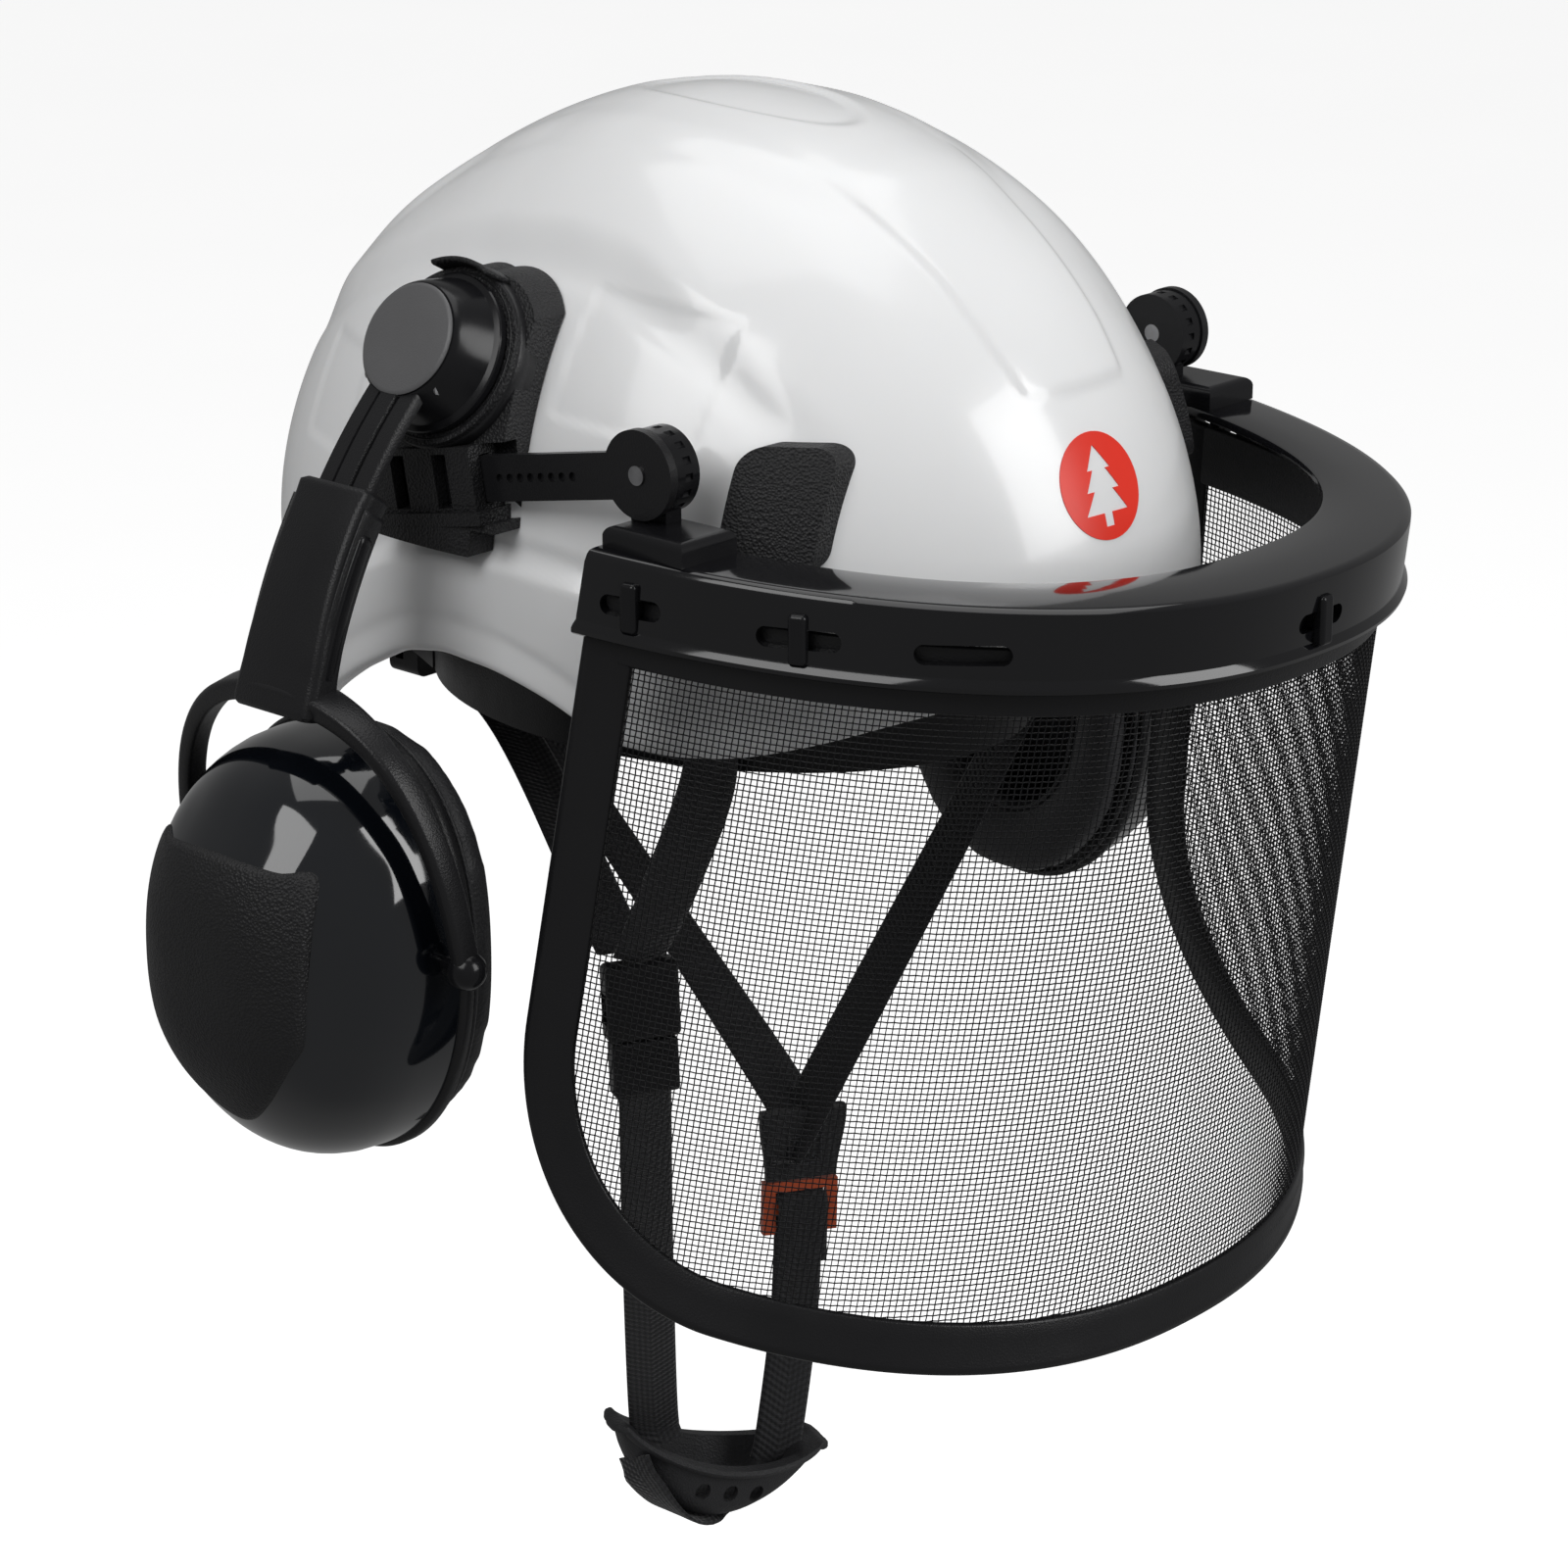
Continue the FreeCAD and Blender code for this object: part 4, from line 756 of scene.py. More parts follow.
def wires(name, paths, radius, body, sides=4):
    """Thin tubes along many paths, in one mesh: paths hold (points, outward directions)."""
    points, faces = [], []
    total = 0
    angles = np.arange(sides) * 2 * np.pi / sides + np.pi / 4
    for path, out in paths:
        ahead = unit(np.gradient(path, axis=0))
        side = unit(np.cross(out, ahead))
        ring = path[:, None] + radius * (np.cos(angles)[None, :, None] * side[:, None]
                                         + np.sin(angles)[None, :, None] * out[:, None])
        points.append(ring.reshape(-1, 3))
        base = np.asarray(grid_faces(len(path), sides, close_cols=True)) + total
        faces.append(base)
        total += len(path) * sides
    points, faces = np.concatenate(points), np.concatenate(faces)
    data = bpy.data.meshes.new(name)
    data.vertices.add(len(points))
    data.vertices.foreach_set("co", (points * MM).ravel())
    data.loops.add(faces.size)
    data.loops.foreach_set("vertex_index", faces.ravel())
    data.polygons.add(len(faces))
    data.polygons.foreach_set("loop_start", np.arange(len(faces)) * 4)
    data.polygons.foreach_set("use_smooth", np.ones(len(faces), bool))
    data.update(calc_edges=True)
    data.validate()
    obj = bpy.data.objects.new(name, data)
    bpy.context.scene.collection.objects.link(obj)
    data.materials.append(WIRE)
    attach(obj, body)
    return obj


def build_mesh():
    """Woven wire: upright and level wires that pass over and under each other."""
    pitch, radius, wave = 1.65, 0.19, 0.14
    edge_turn, edge_drop = border_path(10.5)
    probe = np.linspace(0, 1, 4001)
    middle = sheet(probe, np.full(4001, 110.0), -SHEET_IN)
    run = np.concatenate([[0], np.cumsum(np.linalg.norm(np.diff(middle, axis=0), axis=1))])
    count = int(run[-1] / pitch)
    turns = np.interp(np.arange(1, count) * pitch, run, probe)
    inside_low = mesh_limit(edge_turn, edge_drop, turns)
    drops = np.arange(22.0, 232.0, pitch)
    upright = []
    for i, turn in enumerate(turns):
        lo, hi = inside_low[i]
        use = drops[(drops >= lo) & (drops <= hi)]
        if len(use) < 3:
            continue
        t = np.full(len(use), turn)
        _, _, out = sheet_axes(t, use, -SHEET_IN)
        level = np.round((use - 22.0) / pitch).astype(int)
        sway = wave * np.where((level + i) % 2 == 0, 1.0, -1.0) * 1
        upright.append((sheet(t, use, -SHEET_IN) + out * np.atleast_1d(sway)[:, None], out))
    across = []
    for k, drop in enumerate(drops):
        keep = np.array([lo <= drop <= hi for lo, hi in inside_low])
        index = np.nonzero(keep)[0]
        if len(index) < 4:
            continue
        for part in np.split(index, np.nonzero(np.diff(index) > 1)[0] + 1):
            if len(part) < 4:
                continue
            t = turns[part]
            d = np.full(len(part), drop)
            _, _, out = sheet_axes(t, d, -SHEET_IN)
            sway = wave * np.where((part + k) % 2 == 0, -1.0, 1.0)
            across.append((sheet(t, d, -SHEET_IN) + out * sway[:, None], out))
    half = len(upright) // 2
    first = wires("mesh_uprights_right", upright[:half], radius, "visor")
    wires("mesh_uprights_left", upright[half:], radius, "visor")
    half = len(across) // 2
    wires("mesh_levels_upper", across[:half], radius, "visor")
    wires("mesh_levels_lower", across[half:], radius, "visor")
    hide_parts("visor_mesh")


def mesh_limit(edge_turn, edge_drop, turns):
    """For each upright wire, the drops between which it lies inside the border."""
    limits = []
    for turn in turns:
        crossings = []
        for a in range(len(edge_turn) - 1):
            t0, t1 = edge_turn[a], edge_turn[a + 1]
            if (t0 - turn) * (t1 - turn) <= 0 and t0 != t1:
                crossings.append(edge_drop[a] + (edge_drop[a + 1] - edge_drop[a]) * (turn - t0) / (t1 - t0))
        crossings = sorted(c for c in crossings if c > 0)
        if not crossings:
            limits.append((1.0, 0.0))
        elif len(crossings) == 1:
            limits.append((22.0, crossings[0]))
        else:
            limits.append((max(22.0, crossings[0]), crossings[-1]))
    return limits


def build_carrier():
    """U-shaped peak with its slotted skirt: one rounded section swept round the rim."""
    count = 260
    turn = np.linspace(0, 1, count)
    ox, os_ = rim(turn, OUTER[0], OUTER[2])
    oy = RIM_Y - OUTER[1] * os_
    ix, is_ = rim(turn, INNER[0], INNER[2])
    iy = RIM_Y - INNER[1] * is_
    iy = iy + (END_Y - iy[0]) * np.exp(-np.minimum(turn, 1 - turn) * 40)
    outer = np.stack([ox, oy, plate_height(oy)], 1)
    inner = np.stack([ix, iy, plate_height(iy)], 1)
    _, down, out = sheet_axes(turn, np.full(count, 10.0), -1.4)
    across = unit(inner - outer)
    up = np.array([0, 0, 1.0])
    width = np.linalg.norm(inner - outer, axis=1)
    rows = []
    for i in range(count):
        o, a, w, d, n = outer[i], across[i], width[i], down[i], out[i]
        flat = [o + a * 3.0, o + a * 1.2 - up * 0.25, o + a * 0.25 - up * 1.1, o + d * 3.0,
                o + d * 18.2, o + d * 19.2 + n * 0.9, o + d * 20.2 + n * 1.5, o + d * 21.4 + n * 1.2,
                o + d * 22.0 + n * 0.2, o + d * 22.0 - n * 2.2, o + d * 21.4 - n * 2.9, o + d * 12.0 - n * 2.9,
                o + d * 5.4 - n * 2.9, o + d * 3.6 - n * 3.6, o + a * 6.0 - up * 3.0, o + a * (w - 3.0) - up * 3.0,
                o + a * (w - 0.5) - up * 2.7, o + a * w - up * 2.1, o + a * w - up * 0.9, o + a * (w - 0.4) - up * 0.25,
                o + a * (w - 1.4), o + a * (w - 1.4 - (w - 4.4) * 0.5) + up * 0.1]
        rows.append(np.array(flat))
    points = np.concatenate(rows)
    cols = len(rows[0])
    faces = grid_faces(count, cols, close_cols=True, flip=True)
    faces.append(tuple(range(cols)))
    faces.append(tuple((count - 1) * cols + j for j in range(cols))[::-1])
    carrier = piece("visor_peak", points, faces, "visor", GLOSS, "black_gloss", "visor_carrier")
    cutters = []
    for y, half in ((-81, 9), (-125, 11), (-160, 12)):
        for sign in (-1, 1):
            cutters.append(slot_cutter(sign, y, half))
    cutters.append(slot_cutter(0, RIM_Y - OUTER[1], 9))
    cut_with(carrier, cutters)
    carrier.data.polygons.foreach_set("use_smooth", [True] * len(carrier.data.polygons))
    carrier.data.set_sharp_from_angle(angle=math.radians(38))
    return carrier


def band_place(sign, y):
    """Point and outward direction on the skirt at the given y."""
    reach = max(0.0, 1.0 - abs((y - RIM_Y) / OUTER[1]) ** OUTER[2]) ** (1 / OUTER[2])
    x = sign * OUTER[0] * reach
    dx = abs(x / OUTER[0]) ** (OUTER[2] - 1) / OUTER[0]
    dy = abs((y - RIM_Y) / OUTER[1]) ** (OUTER[2] - 1) / OUTER[1]
    n = unit(np.array([math.copysign(dx, x), -dy, 0.0]))
    return np.array([x, y + 2.5, plate_height(y) - 12.0]), n


def slot_cutter(sign, y, half, tall=2.6):
    at, n = band_place(sign, y)
    side = np.array([-n[1], n[0], 0.0])
    a = np.linspace(0, 2 * np.pi, 24, endpoint=False)
    u = np.cos(a) * tall + np.sign(np.cos(a)) * (half - tall)
    v = np.sin(a) * tall
    ring = u[:, None] * side + v[:, None] * np.array([0, 0, 1.0])
    points = np.vstack([at + ring - n * 8, at + ring + n * 8])
    faces = grid_faces(2, 24, close_cols=True) + [tuple(range(24))[::-1], tuple(range(24, 48))]
    return helper("slot", points, faces)


# ---- accessory mounts -------------------------------------------------------------------------
MOUNT_Y = 4.0
HUB_AT = np.array([-104.0, MOUNT_Y, 69.0])
HUB_AXIS = np.array([-math.cos(math.radians(28)), 0, math.sin(math.radians(28))])
HUB_DOWN = np.array([-math.sin(math.radians(28)), 0, -math.cos(math.radians(28))])
ACROSS = np.array([0.0, 1.0, 0.0])


def cuboid(origin, axes, spans):
    """Eight corners and six faces of a box in its own axes."""
    corners = [np.asarray(origin, float) + sum(axes[k] * spans[k][bit] for k, bit in enumerate(bits))
               for bits in ((a, b, c) for a in (0, 1) for b in (0, 1) for c in (0, 1))]
    faces = [(0, 1, 3, 2), (4, 6, 7, 5), (0, 4, 5, 1), (2, 3, 7, 6), (0, 2, 6, 4), (1, 5, 7, 3)]
    return np.array(corners), faces


def mirrored_axis(vector):
    return np.asarray(vector, float) * np.array([-1.0, 1.0, 1.0])


def turned(name, start, axis, profile, body, material, slot, node=None):
    """A turned piece on each side of the helmet."""
    made = []
    for sign, side in SIDES:
        s = np.asarray(start, float) if sign < 0 else mirrored_axis(start)
        a = np.asarray(axis, float) if sign < 0 else mirrored_axis(axis)
        at = "%s_%s" % (body, side) if body in ("hub", "arm", "yoke", "cup", "visor_arm") else body
        made.append(lathe("%s_%s" % (name, side), s, a, profile, at, material, slot,
                          "%s_%s" % (node, side) if node else None))
    return made


def notch_cutter(sign):
    points, faces = cuboid(HUB_AT, (HUB_AXIS, HUB_DOWN, ACROSS), ((5.5, 40), (4.7, 40), (-10.5, 10.5)))
    if sign > 0:
        points, faces = mirror_points(points), flip_faces(faces)
    return helper("notch", points, faces)


def build_hubs():
    barrel = [(0.3, 4.1), (0.3, 20.9), (0.6, 21.5), (2.4, 21.6), (2.9, 21.3), (3.2, 20.5), (3.4, 19.9),
              (4.2, 19.6),
              (7.0, 18.6), (10.0, 17.4), (12.0, 16.5), (13.1, 15.9), (13.6, 15.4), (13.6, 0.5)]
    face = [(13.4, 0.4), (13.4, 14.7), (14.1, 15.0), (14.5, 14.6), (14.65, 13.9), (14.7, 7.0), (14.7, 0.4)]
    barrels = turned("hub_barrel", HUB_AT, HUB_AXIS, barrel, "hub", SMOOTH, "hub_grey", "muff_hub")
    faces = turned("hub_face", HUB_AT, HUB_AXIS, face, "hub", HUB_GREY, "hub_grey")
    for (sign, _), a, b in zip(SIDES, barrels, faces):
        cut_with(a, [notch_cutter(sign)])
        cut_with(b, [notch_cutter(sign)])
        for obj in (a, b):
            obj.data.polygons.foreach_set("use_smooth", [True] * len(obj.data.polygons))
            obj.data.set_sharp_from_angle(angle=math.radians(34))
    collar = [(-9.0, 22.6), (-9.0, 24.5), (-2.4, 24.5), (-1.7, 24.2), (-1.5, 23.8), (-1.5, 23.1),
              (-0.9, 22.9),
              (-0.2, 22.9), (0.1, 22.6), (0.1, 22.2), (-1.0, 22.0)]
    turned("boss_collar", HUB_AT, HUB_AXIS, collar, "shell_body", SATIN, "black_satin")
    rows = []
    for a in np.linspace(-24, 24, 15):
        c, s = math.cos(math.radians(a)), math.sin(math.radians(a))
        ring = [(-8, 23.9), (4.2, 23.9), (5.0, 24.2), (5.2, 24.9), (4.6, 25.4), (-8, 25.7)]
        rows.append([HUB_AT + HUB_AXIS * n + (-HUB_DOWN * c + ACROSS * s) * r for n, r in ring])
    points = np.array(rows).reshape(-1, 3)
    faces = grid_faces(15, 6, close_cols=True) + [tuple(range(6))[::-1], tuple(14 * 6 + j for j in range(6))]
    both("top_tab", points, faces, "shell_body", GRAINED, "black_textured")


ARC = (-13.4, -47.4, 153.4)


def arc_at(angle, lift=0.0):
    a = np.radians(np.asarray(angle, float))
    r = ARC[2] + lift
    return np.stack([ARC[0] - r * np.cos(a), np.full_like(a, MOUNT_Y), ARC[1] + r * np.sin(a)], -1)


def arc_out(angle):
    a = np.radians(np.asarray(angle, float))
    return np.stack([-np.cos(a), np.zeros_like(a), np.sin(a)], -1)


def arc_sweep(angles, section, shift=0.0):
    angles = np.asarray(angles, float)
    sides = np.tile(ACROSS, (len(angles), 1))
    return sweep(arc_at(angles) + ACROSS * shift, sides, arc_out(angles), section)


def build_arms():
    rib = np.array([(-9, -1.5), (-8.6, -1.8), (8.6, -1.8), (9, -1.5), (9, 1.2), (8.5, 1.8), (4.0, 1.8),
                    (3.6, 1.1),
                    (3.0, 1.1), (2.6, 2.3), (-2.6, 2.3), (-3.0,
                                                          1.1), (-3.6,
                                                                 1.1), (-4.0, 1.8), (-8.5, 1.8), (-9, 1.2)])
    points, faces = arc_sweep(np.linspace(23.2, 46.2, 60), rib)
    arms = both("spring_arm", points, flip_faces(faces), "arm", SATIN, "black_satin", "muff_arm")
    centre = arc_at(47.0)
    knuckle = [(-9, 1.6), (-9, 3.2), (-8.6, 3.6), (8.6, 3.6), (9, 3.2), (9, 1.6)]
    turned("arm_knuckle", centre, ACROSS, knuckle, "arm", SATIN, "black_satin")
    for obj in arms:
        obj.data.set_sharp_from_angle(angle=math.radians(40))


def build_yokes():
    angles = np.linspace(13.2, 34.6, 60)
    sections = []
    for a in angles:
        t = (a - 13.2) / 21.4
        width = 29.2 - 3.0 * smoothstep(t, 0.0, 0.75) + 0.9 * math.exp(-((t - 1.0) / 0.05) ** 2)
        depth = 9.0 + 1.6 * (1 - smoothstep(t, 0.0, 0.2))
        shape = rounded_rect(width, depth, 2.4, 5)
        shape[:, 1] += 0.9 * (1 - (shape[:, 0] / (width / 2)) ** 2) * np.sign(shape[:, 1]) * (shape[:, 1] > 0)
        sections.append(shape)
    end_in = sections[-1] * np.array([0.90, 0.80])
    sections = [sections[0] * np.array([0.93, 0.85])] + sections + [end_in]
    steps = np.concatenate([[12.8], angles, [35.0]])
    points, faces = arc_sweep(steps, sections)
    sleeves = both("yoke_sleeve", points, flip_faces(faces), "yoke", SATIN, "black_satin", "muff_yoke")
    mouth = []
    for sign, _ in SIDES:
        p, f = arc_sweep(np.linspace(33.0, 36.5, 4), rounded_rect(19.0, 5.4, 0.8))
        f = flip_faces(f)
        if sign > 0:
            p, f = mirror_points(p), flip_faces(f)
        mouth.append(helper("mouth", p, f))
    for obj, cutter in zip(sleeves, mouth):
        cut_with(obj, [cutter])
        obj.data.polygons.foreach_set("use_smooth", [True] * len(obj.data.polygons))
        obj.data.set_sharp_from_angle(angle=math.radians(42))
    for shift, name in ((-13.7, "front"), (13.7, "rear")):
        angles = np.linspace(16.4, 31.0, 36)
        shapes = [rounded_rect(2.4 * k, 4.6 * k, 1.1, 3)
                  for k in np.clip(np.minimum(angles - 16.0, 31.4 - angles) * 1.6, 0.35, 1)]
        points, faces = arc_sweep(angles, shapes, shift - 0.5 * np.sign(shift))
        both("sleeve_latch_" + name, points, flip_faces(faces), "yoke", SMOOTH, "black_satin")
        points, faces = arc_sweep(np.linspace(15.6, 33.2, 36), rounded_rect(1.2, 7.4, 0.5, 2),
                                  shift - 0.6 * np.sign(shift))
        both("sleeve_rail_" + name, points, flip_faces(faces), "yoke", SATIN, "black_satin")

    foot = np.array([PIN_X, MOUNT_Y, PIN_Z])
    top = arc_at(15.0)
    up = unit(top - foot)
    rise = np.linalg.norm(top - foot)
    out = np.array([-up[2], 0, up[0]])
    t = np.linspace(0.0, np.pi, 110)
    c, s = np.cos(t), np.sin(t)
    n = 2.45
    path = foot + ACROSS * (np.sign(c) * np.abs(c) ** (2 / n) * 50.0)[:, None] + up * (s ** (2 / n) * rise)[:, None]
    path = resample(path, 120)
    ahead = unit(np.gradient(path, axis=0))
    sides = np.tile(out, (len(path), 1))
    inward = unit(np.cross(ahead, sides))
    shapes = []
    for i in range(len(path)):
        k = i / (len(path) - 1)
        wide = 7.4 + 3.4 * math.exp(-((k - 0.5) / 0.16) ** 2)
        thick = 4.4 + 1.6 * math.exp(-((k - 0.5) / 0.2) ** 2)
        shape = rounded_rect(wide, thick, 1.5, 4)
        shape[:, 1] -= 0.55 * np.exp(-(shape[:, 0] / (wide * 0.2)) ** 2) * (shape[:, 1] < 0)
        shapes.append(shape)
    points, faces = sweep(path, sides, inward, shapes)
    forks = both("yoke_fork", points, faces, "yoke", SATIN, "black_satin")
    for obj in forks:
        obj.data.set_sharp_from_angle(angle=math.radians(50))
    for sign in (-1, 1):
        ball = [(-4.9, 0.2), (-4.7, 1.8), (-3.8, 3.5), (-2.2, 4.7), (0, 5.2), (2.0, 4.9), (3.6, 3.8),
                (4.2, 2.4), (8.6, 2.0),
                (9.0, 1.4), (9.0, 0.2)]
        start = np.array([PIN_X, MOUNT_Y + sign * 50.0, PIN_Z])
        turned("yoke_pivot_%s" % ("front" if sign < 0 else "rear"), start, ACROSS * -sign, ball, "yoke",
               SMOOTH, "black_satin")


# ---- ear cups ---------------------------------------------------------------------------------
PIN_X, PIN_Z = -148.5, -75.0
CUP_Y, CUP_Z = 5.0, -79.0
CUP_HALF = (43.5, 58.0)
RING_OUT, CUP_OUT, CUSHION_OUT, CUSHION_IN = 144.0, 193.0, 139.5, 126.0


def egg(theta, scale=1.0, grow=0.0):
    c, s = np.cos(theta), np.sin(theta)
    n = np.where(s > 0, 2.35, 2.08)
    y = CUP_Y + (CUP_HALF[0] * scale + grow) * np.sign(c) * np.abs(c) ** (2 / n)
    z = CUP_Z + (CUP_HALF[1] * scale + grow) * np.sign(s) * np.abs(s) ** (2 / n)
    return y, z


def dome_x(y, z):
    """Outer skin of the cup over a point seen from the side, before its scoops."""
    s = np.asarray(z, float) - CUP_Z
    n = np.where(s > 0, 2.35, 2.08)
    level = (np.abs((np.asarray(y) - CUP_Y) / CUP_HALF[0]) ** n + np.abs(s / CUP_HALF[1]) ** n) ** (1 / n)
    level = np.clip(level, 0, 1)
    return -RING_OUT - (CUP_OUT - RING_OUT) * np.sqrt(np.clip(1 - level ** 2.9, 0,
                                                              1)) ** 0.92 + 6.0 * smoothstep(-s, 14, 60) * (1 - level ** 3)


def scoop(y, z):
    """Depth of the finger channels beside the fork."""
    side = np.abs(y - CUP_Y)
    s = z - CUP_Z
    channel = np.exp(-((side - 33.0 - 0.05 * s) / 5.2) ** 2) * smoothstep(s, -34, -16) * smoothstep(-s, -52, -30)
    crown = np.exp(-((s - 41.0) / 8.0) ** 2) * smoothstep(-side, -32, -14)
    return 3.4 * channel + 1.6 * crown


def build_cups():
    turns, rows = 168, 64
    theta = np.linspace(0, 2 * np.pi, turns, endpoint=False)
    stack = []
    for t in np.sin(np.linspace(0.0, np.pi / 2, rows)):
        r = 1.0 - t ** 1.15
        y, z = egg(theta, max(r, 0.004))
        x = dome_x(y, z) + scoop(y, z)
        x = np.minimum(x, -RING_OUT)
        stack.append(np.stack([x, y, z], 1))
    skirt_y, skirt_z = egg(theta, 1.0, 0.0)
    skirt = np.stack([np.full(turns, -RING_OUT), skirt_y, skirt_z], 1)
    inner_y, inner_z = egg(theta, 0.94)
    inside = np.stack([np.full(turns, -RING_OUT), inner_y, inner_z], 1)
    depth = [np.stack([np.full(turns, x), *egg(theta, k)], 1) for x,
             k in ((-RING_OUT - 12, 0.92), (-RING_OUT - 26, 0.8), (-RING_OUT - 36, 0.6),
                   (-RING_OUT - 41, 0.3))]
    rings = [inside] + depth
    full = np.array(rings[::-1] + [skirt] + stack[1:])
    points = full.reshape(-1, 3)
    faces = grid_faces(len(full), turns, close_cols=True)
    faces.append(tuple(range(turns))[::-1])
    faces.append(tuple((len(full) - 1) * turns + j for j in range(turns)))
    cups = both("cup", points, flip_faces(faces), "cup", CUP_GLOSS, "cup_gloss", "cup_shell")
    for obj in cups:
        obj.data.set_sharp_from_angle(angle=math.radians(55))

    groove = []
    for x, grow in ((-RING_OUT + 0.1, 0.2), (-RING_OUT + 0.7, 1.2), (-RING_OUT + 1.5, 1.5),
                    (-CUSHION_OUT - 0.8, 1.5),
                    (-CUSHION_OUT - 0.2, 1.0), (-CUSHION_OUT, 0.2)):
        groove.append(np.stack([np.full(turns, x), *egg(theta, 1.0, grow)], 1))
    groove += [np.stack([np.full(turns, x), *egg(theta, 0.58)], 1) for x in (-CUSHION_OUT, -RING_OUT + 0.1)]
    full = np.array(groove)
    faces = grid_faces(len(full), turns, close_rows=True, close_cols=True)
    rings = both("cup_back_ring", full.reshape(-1, 3), faces, "cup", SATIN, "ring_black", "cup_ring")
    for obj in rings:
        obj.data.set_sharp_from_angle(angle=math.radians(45))
    build_badges()


def shield_outline():
    corners = [(-29.0, -6.0), (-29.0, 29.5), (-20.0, 32.5), (0.0, 34.2), (18.0, 33.0), (27.0, 30.5),
               (27.0, -8.0), (20.0, -24.0),
               (8.0, -35.0), (-3.0, -40.0), (-15.0, -31.5), (-25.0, -18.0)]
    path = np.array([(y + CUP_Y, z + CUP_Z) for y, z in corners])
    loop = np.vstack([path[-1:], path, path[:2]])
    curve = catmull(loop, 260)
    start = np.argmin(np.hypot(*(curve - path[0]).T))
    end = start + 20 + np.argmin(np.hypot(*(curve[start + 20:] - path[0]).T))
    return resample(np.column_stack([curve[start:end + 1], np.zeros(end + 1 - start)]), 120)[:-1, :2]


def build_badges():
    """Grained shield plate with a rolled edge, standing proud of the glossy cup."""
    outline = shield_outline()
    middle = outline.mean(0)
    inner = middle + (outline - middle) * 0.955
    flat, faces = patch(inner, [], 3.0)
    border = [int(np.argmin(np.hypot(*(flat - p).T))) for p in inner]
    skin = np.column_stack([dome_x(flat[:, 0], flat[:, 1]) - 1.45, flat])
    rings = []
    for scale, lift in ((0.975, 1.35), (0.992, 0.95), (1.0, 0.3), (1.0, -1.2)):
        ring = middle + (outline - middle) * scale
        rings.append(np.column_stack([dome_x(ring[:, 0], ring[:, 1]) - lift, ring]))
    count, n = len(flat), len(outline)
    points = np.vstack([skin] + rings)
    order = [border] + [[count + k * n + j for j in range(n)] for k in range(4)]
    for a, b in zip(order, order[1:]):
        faces += [(a[j], b[j], b[(j + 1) % n], a[(j + 1) % n]) for j in range(n) if a[j] != a[(j + 1) % n]]
    faces.append(tuple(order[-1][::-1]))
    plates = both("cup_badge_plate", points, [f for f in faces], "cup", GRAINED, "black_textured",
                  "cup_badge")
    for obj in plates:
        tidy_normals(obj)
        obj.data.set_sharp_from_angle(angle=math.radians(60))


def tidy_normals(obj):
    """Face directions made consistent and outward."""
    work = bmesh.new()
    work.from_mesh(obj.data)
    bmesh.ops.remove_doubles(work, verts=work.verts, dist=1e-6)
    bmesh.ops.recalc_face_normals(work, faces=work.faces)
    work.to_mesh(obj.data)
    work.free()
    obj.data.polygons.foreach_set("use_smooth", [True] * len(obj.data.polygons))


def build_cushions():
    """Foam-filled rings under a matte skin, inflated by a short cloth run."""
    turns = 120
    theta = np.linspace(0, 2 * np.pi, turns, endpoint=False)
    section = [(-CUSHION_OUT + 0.6, 0.955), (-CUSHION_OUT + 5.0, 0.975), (-CUSHION_IN - 3.0, 0.96),
               (-CUSHION_IN - 0.8, 0.90),
               (-CUSHION_IN - 0.4, 0.78), (-CUSHION_IN - 1.0,
                                           0.66), (-CUSHION_IN - 4.0, 0.58), (-CUSHION_OUT + 1.0, 0.58)]
    full = np.array([np.stack([np.full(turns, x), *egg(theta, k)], 1) for x, k in section])
    faces = grid_faces(len(full), turns, close_rows=True, close_cols=True)
    cushions = both("ear_cushion_skin", full.reshape(-1, 3), faces, "cup", SKIN, "cushion_skin",
                    "ear_cushion")
    right, left = cushions
    tidy_normals(right)
    puff(right, voxel=3.4, pressure=4.0, cap=1.6)
    data = right.data.copy()
    data.transform(Matrix.Scale(-1.0, 4, Vector((1, 0, 0))))
    data.flip_normals()
    left.data = data
    for obj in cushions:
        obj.data.polygons.foreach_set("use_smooth", [True] * len(obj.data.polygons))
    for scale, x in ((0.992, -CUSHION_OUT + 1.6), (0.60, -CUSHION_IN - 3.4)):
        ring = np.stack([np.full(turns, x), *egg(theta, scale)], 1)
        ahead = unit(np.roll(ring, -1, 0) - np.roll(ring, 1, 0))
        points, faces = sweep(ring, np.tile((1.0, 0, 0), (turns, 1)), np.cross(ahead, (1.0, 0, 0)),
                              rounded_rect(1.3, 1.3, 0.6, 2), closed=True)
        for obj in both("cushion_welt_%d" % int(scale * 100), points, faces, "cup", SKIN, "cushion_skin"):
            tidy_normals(obj)


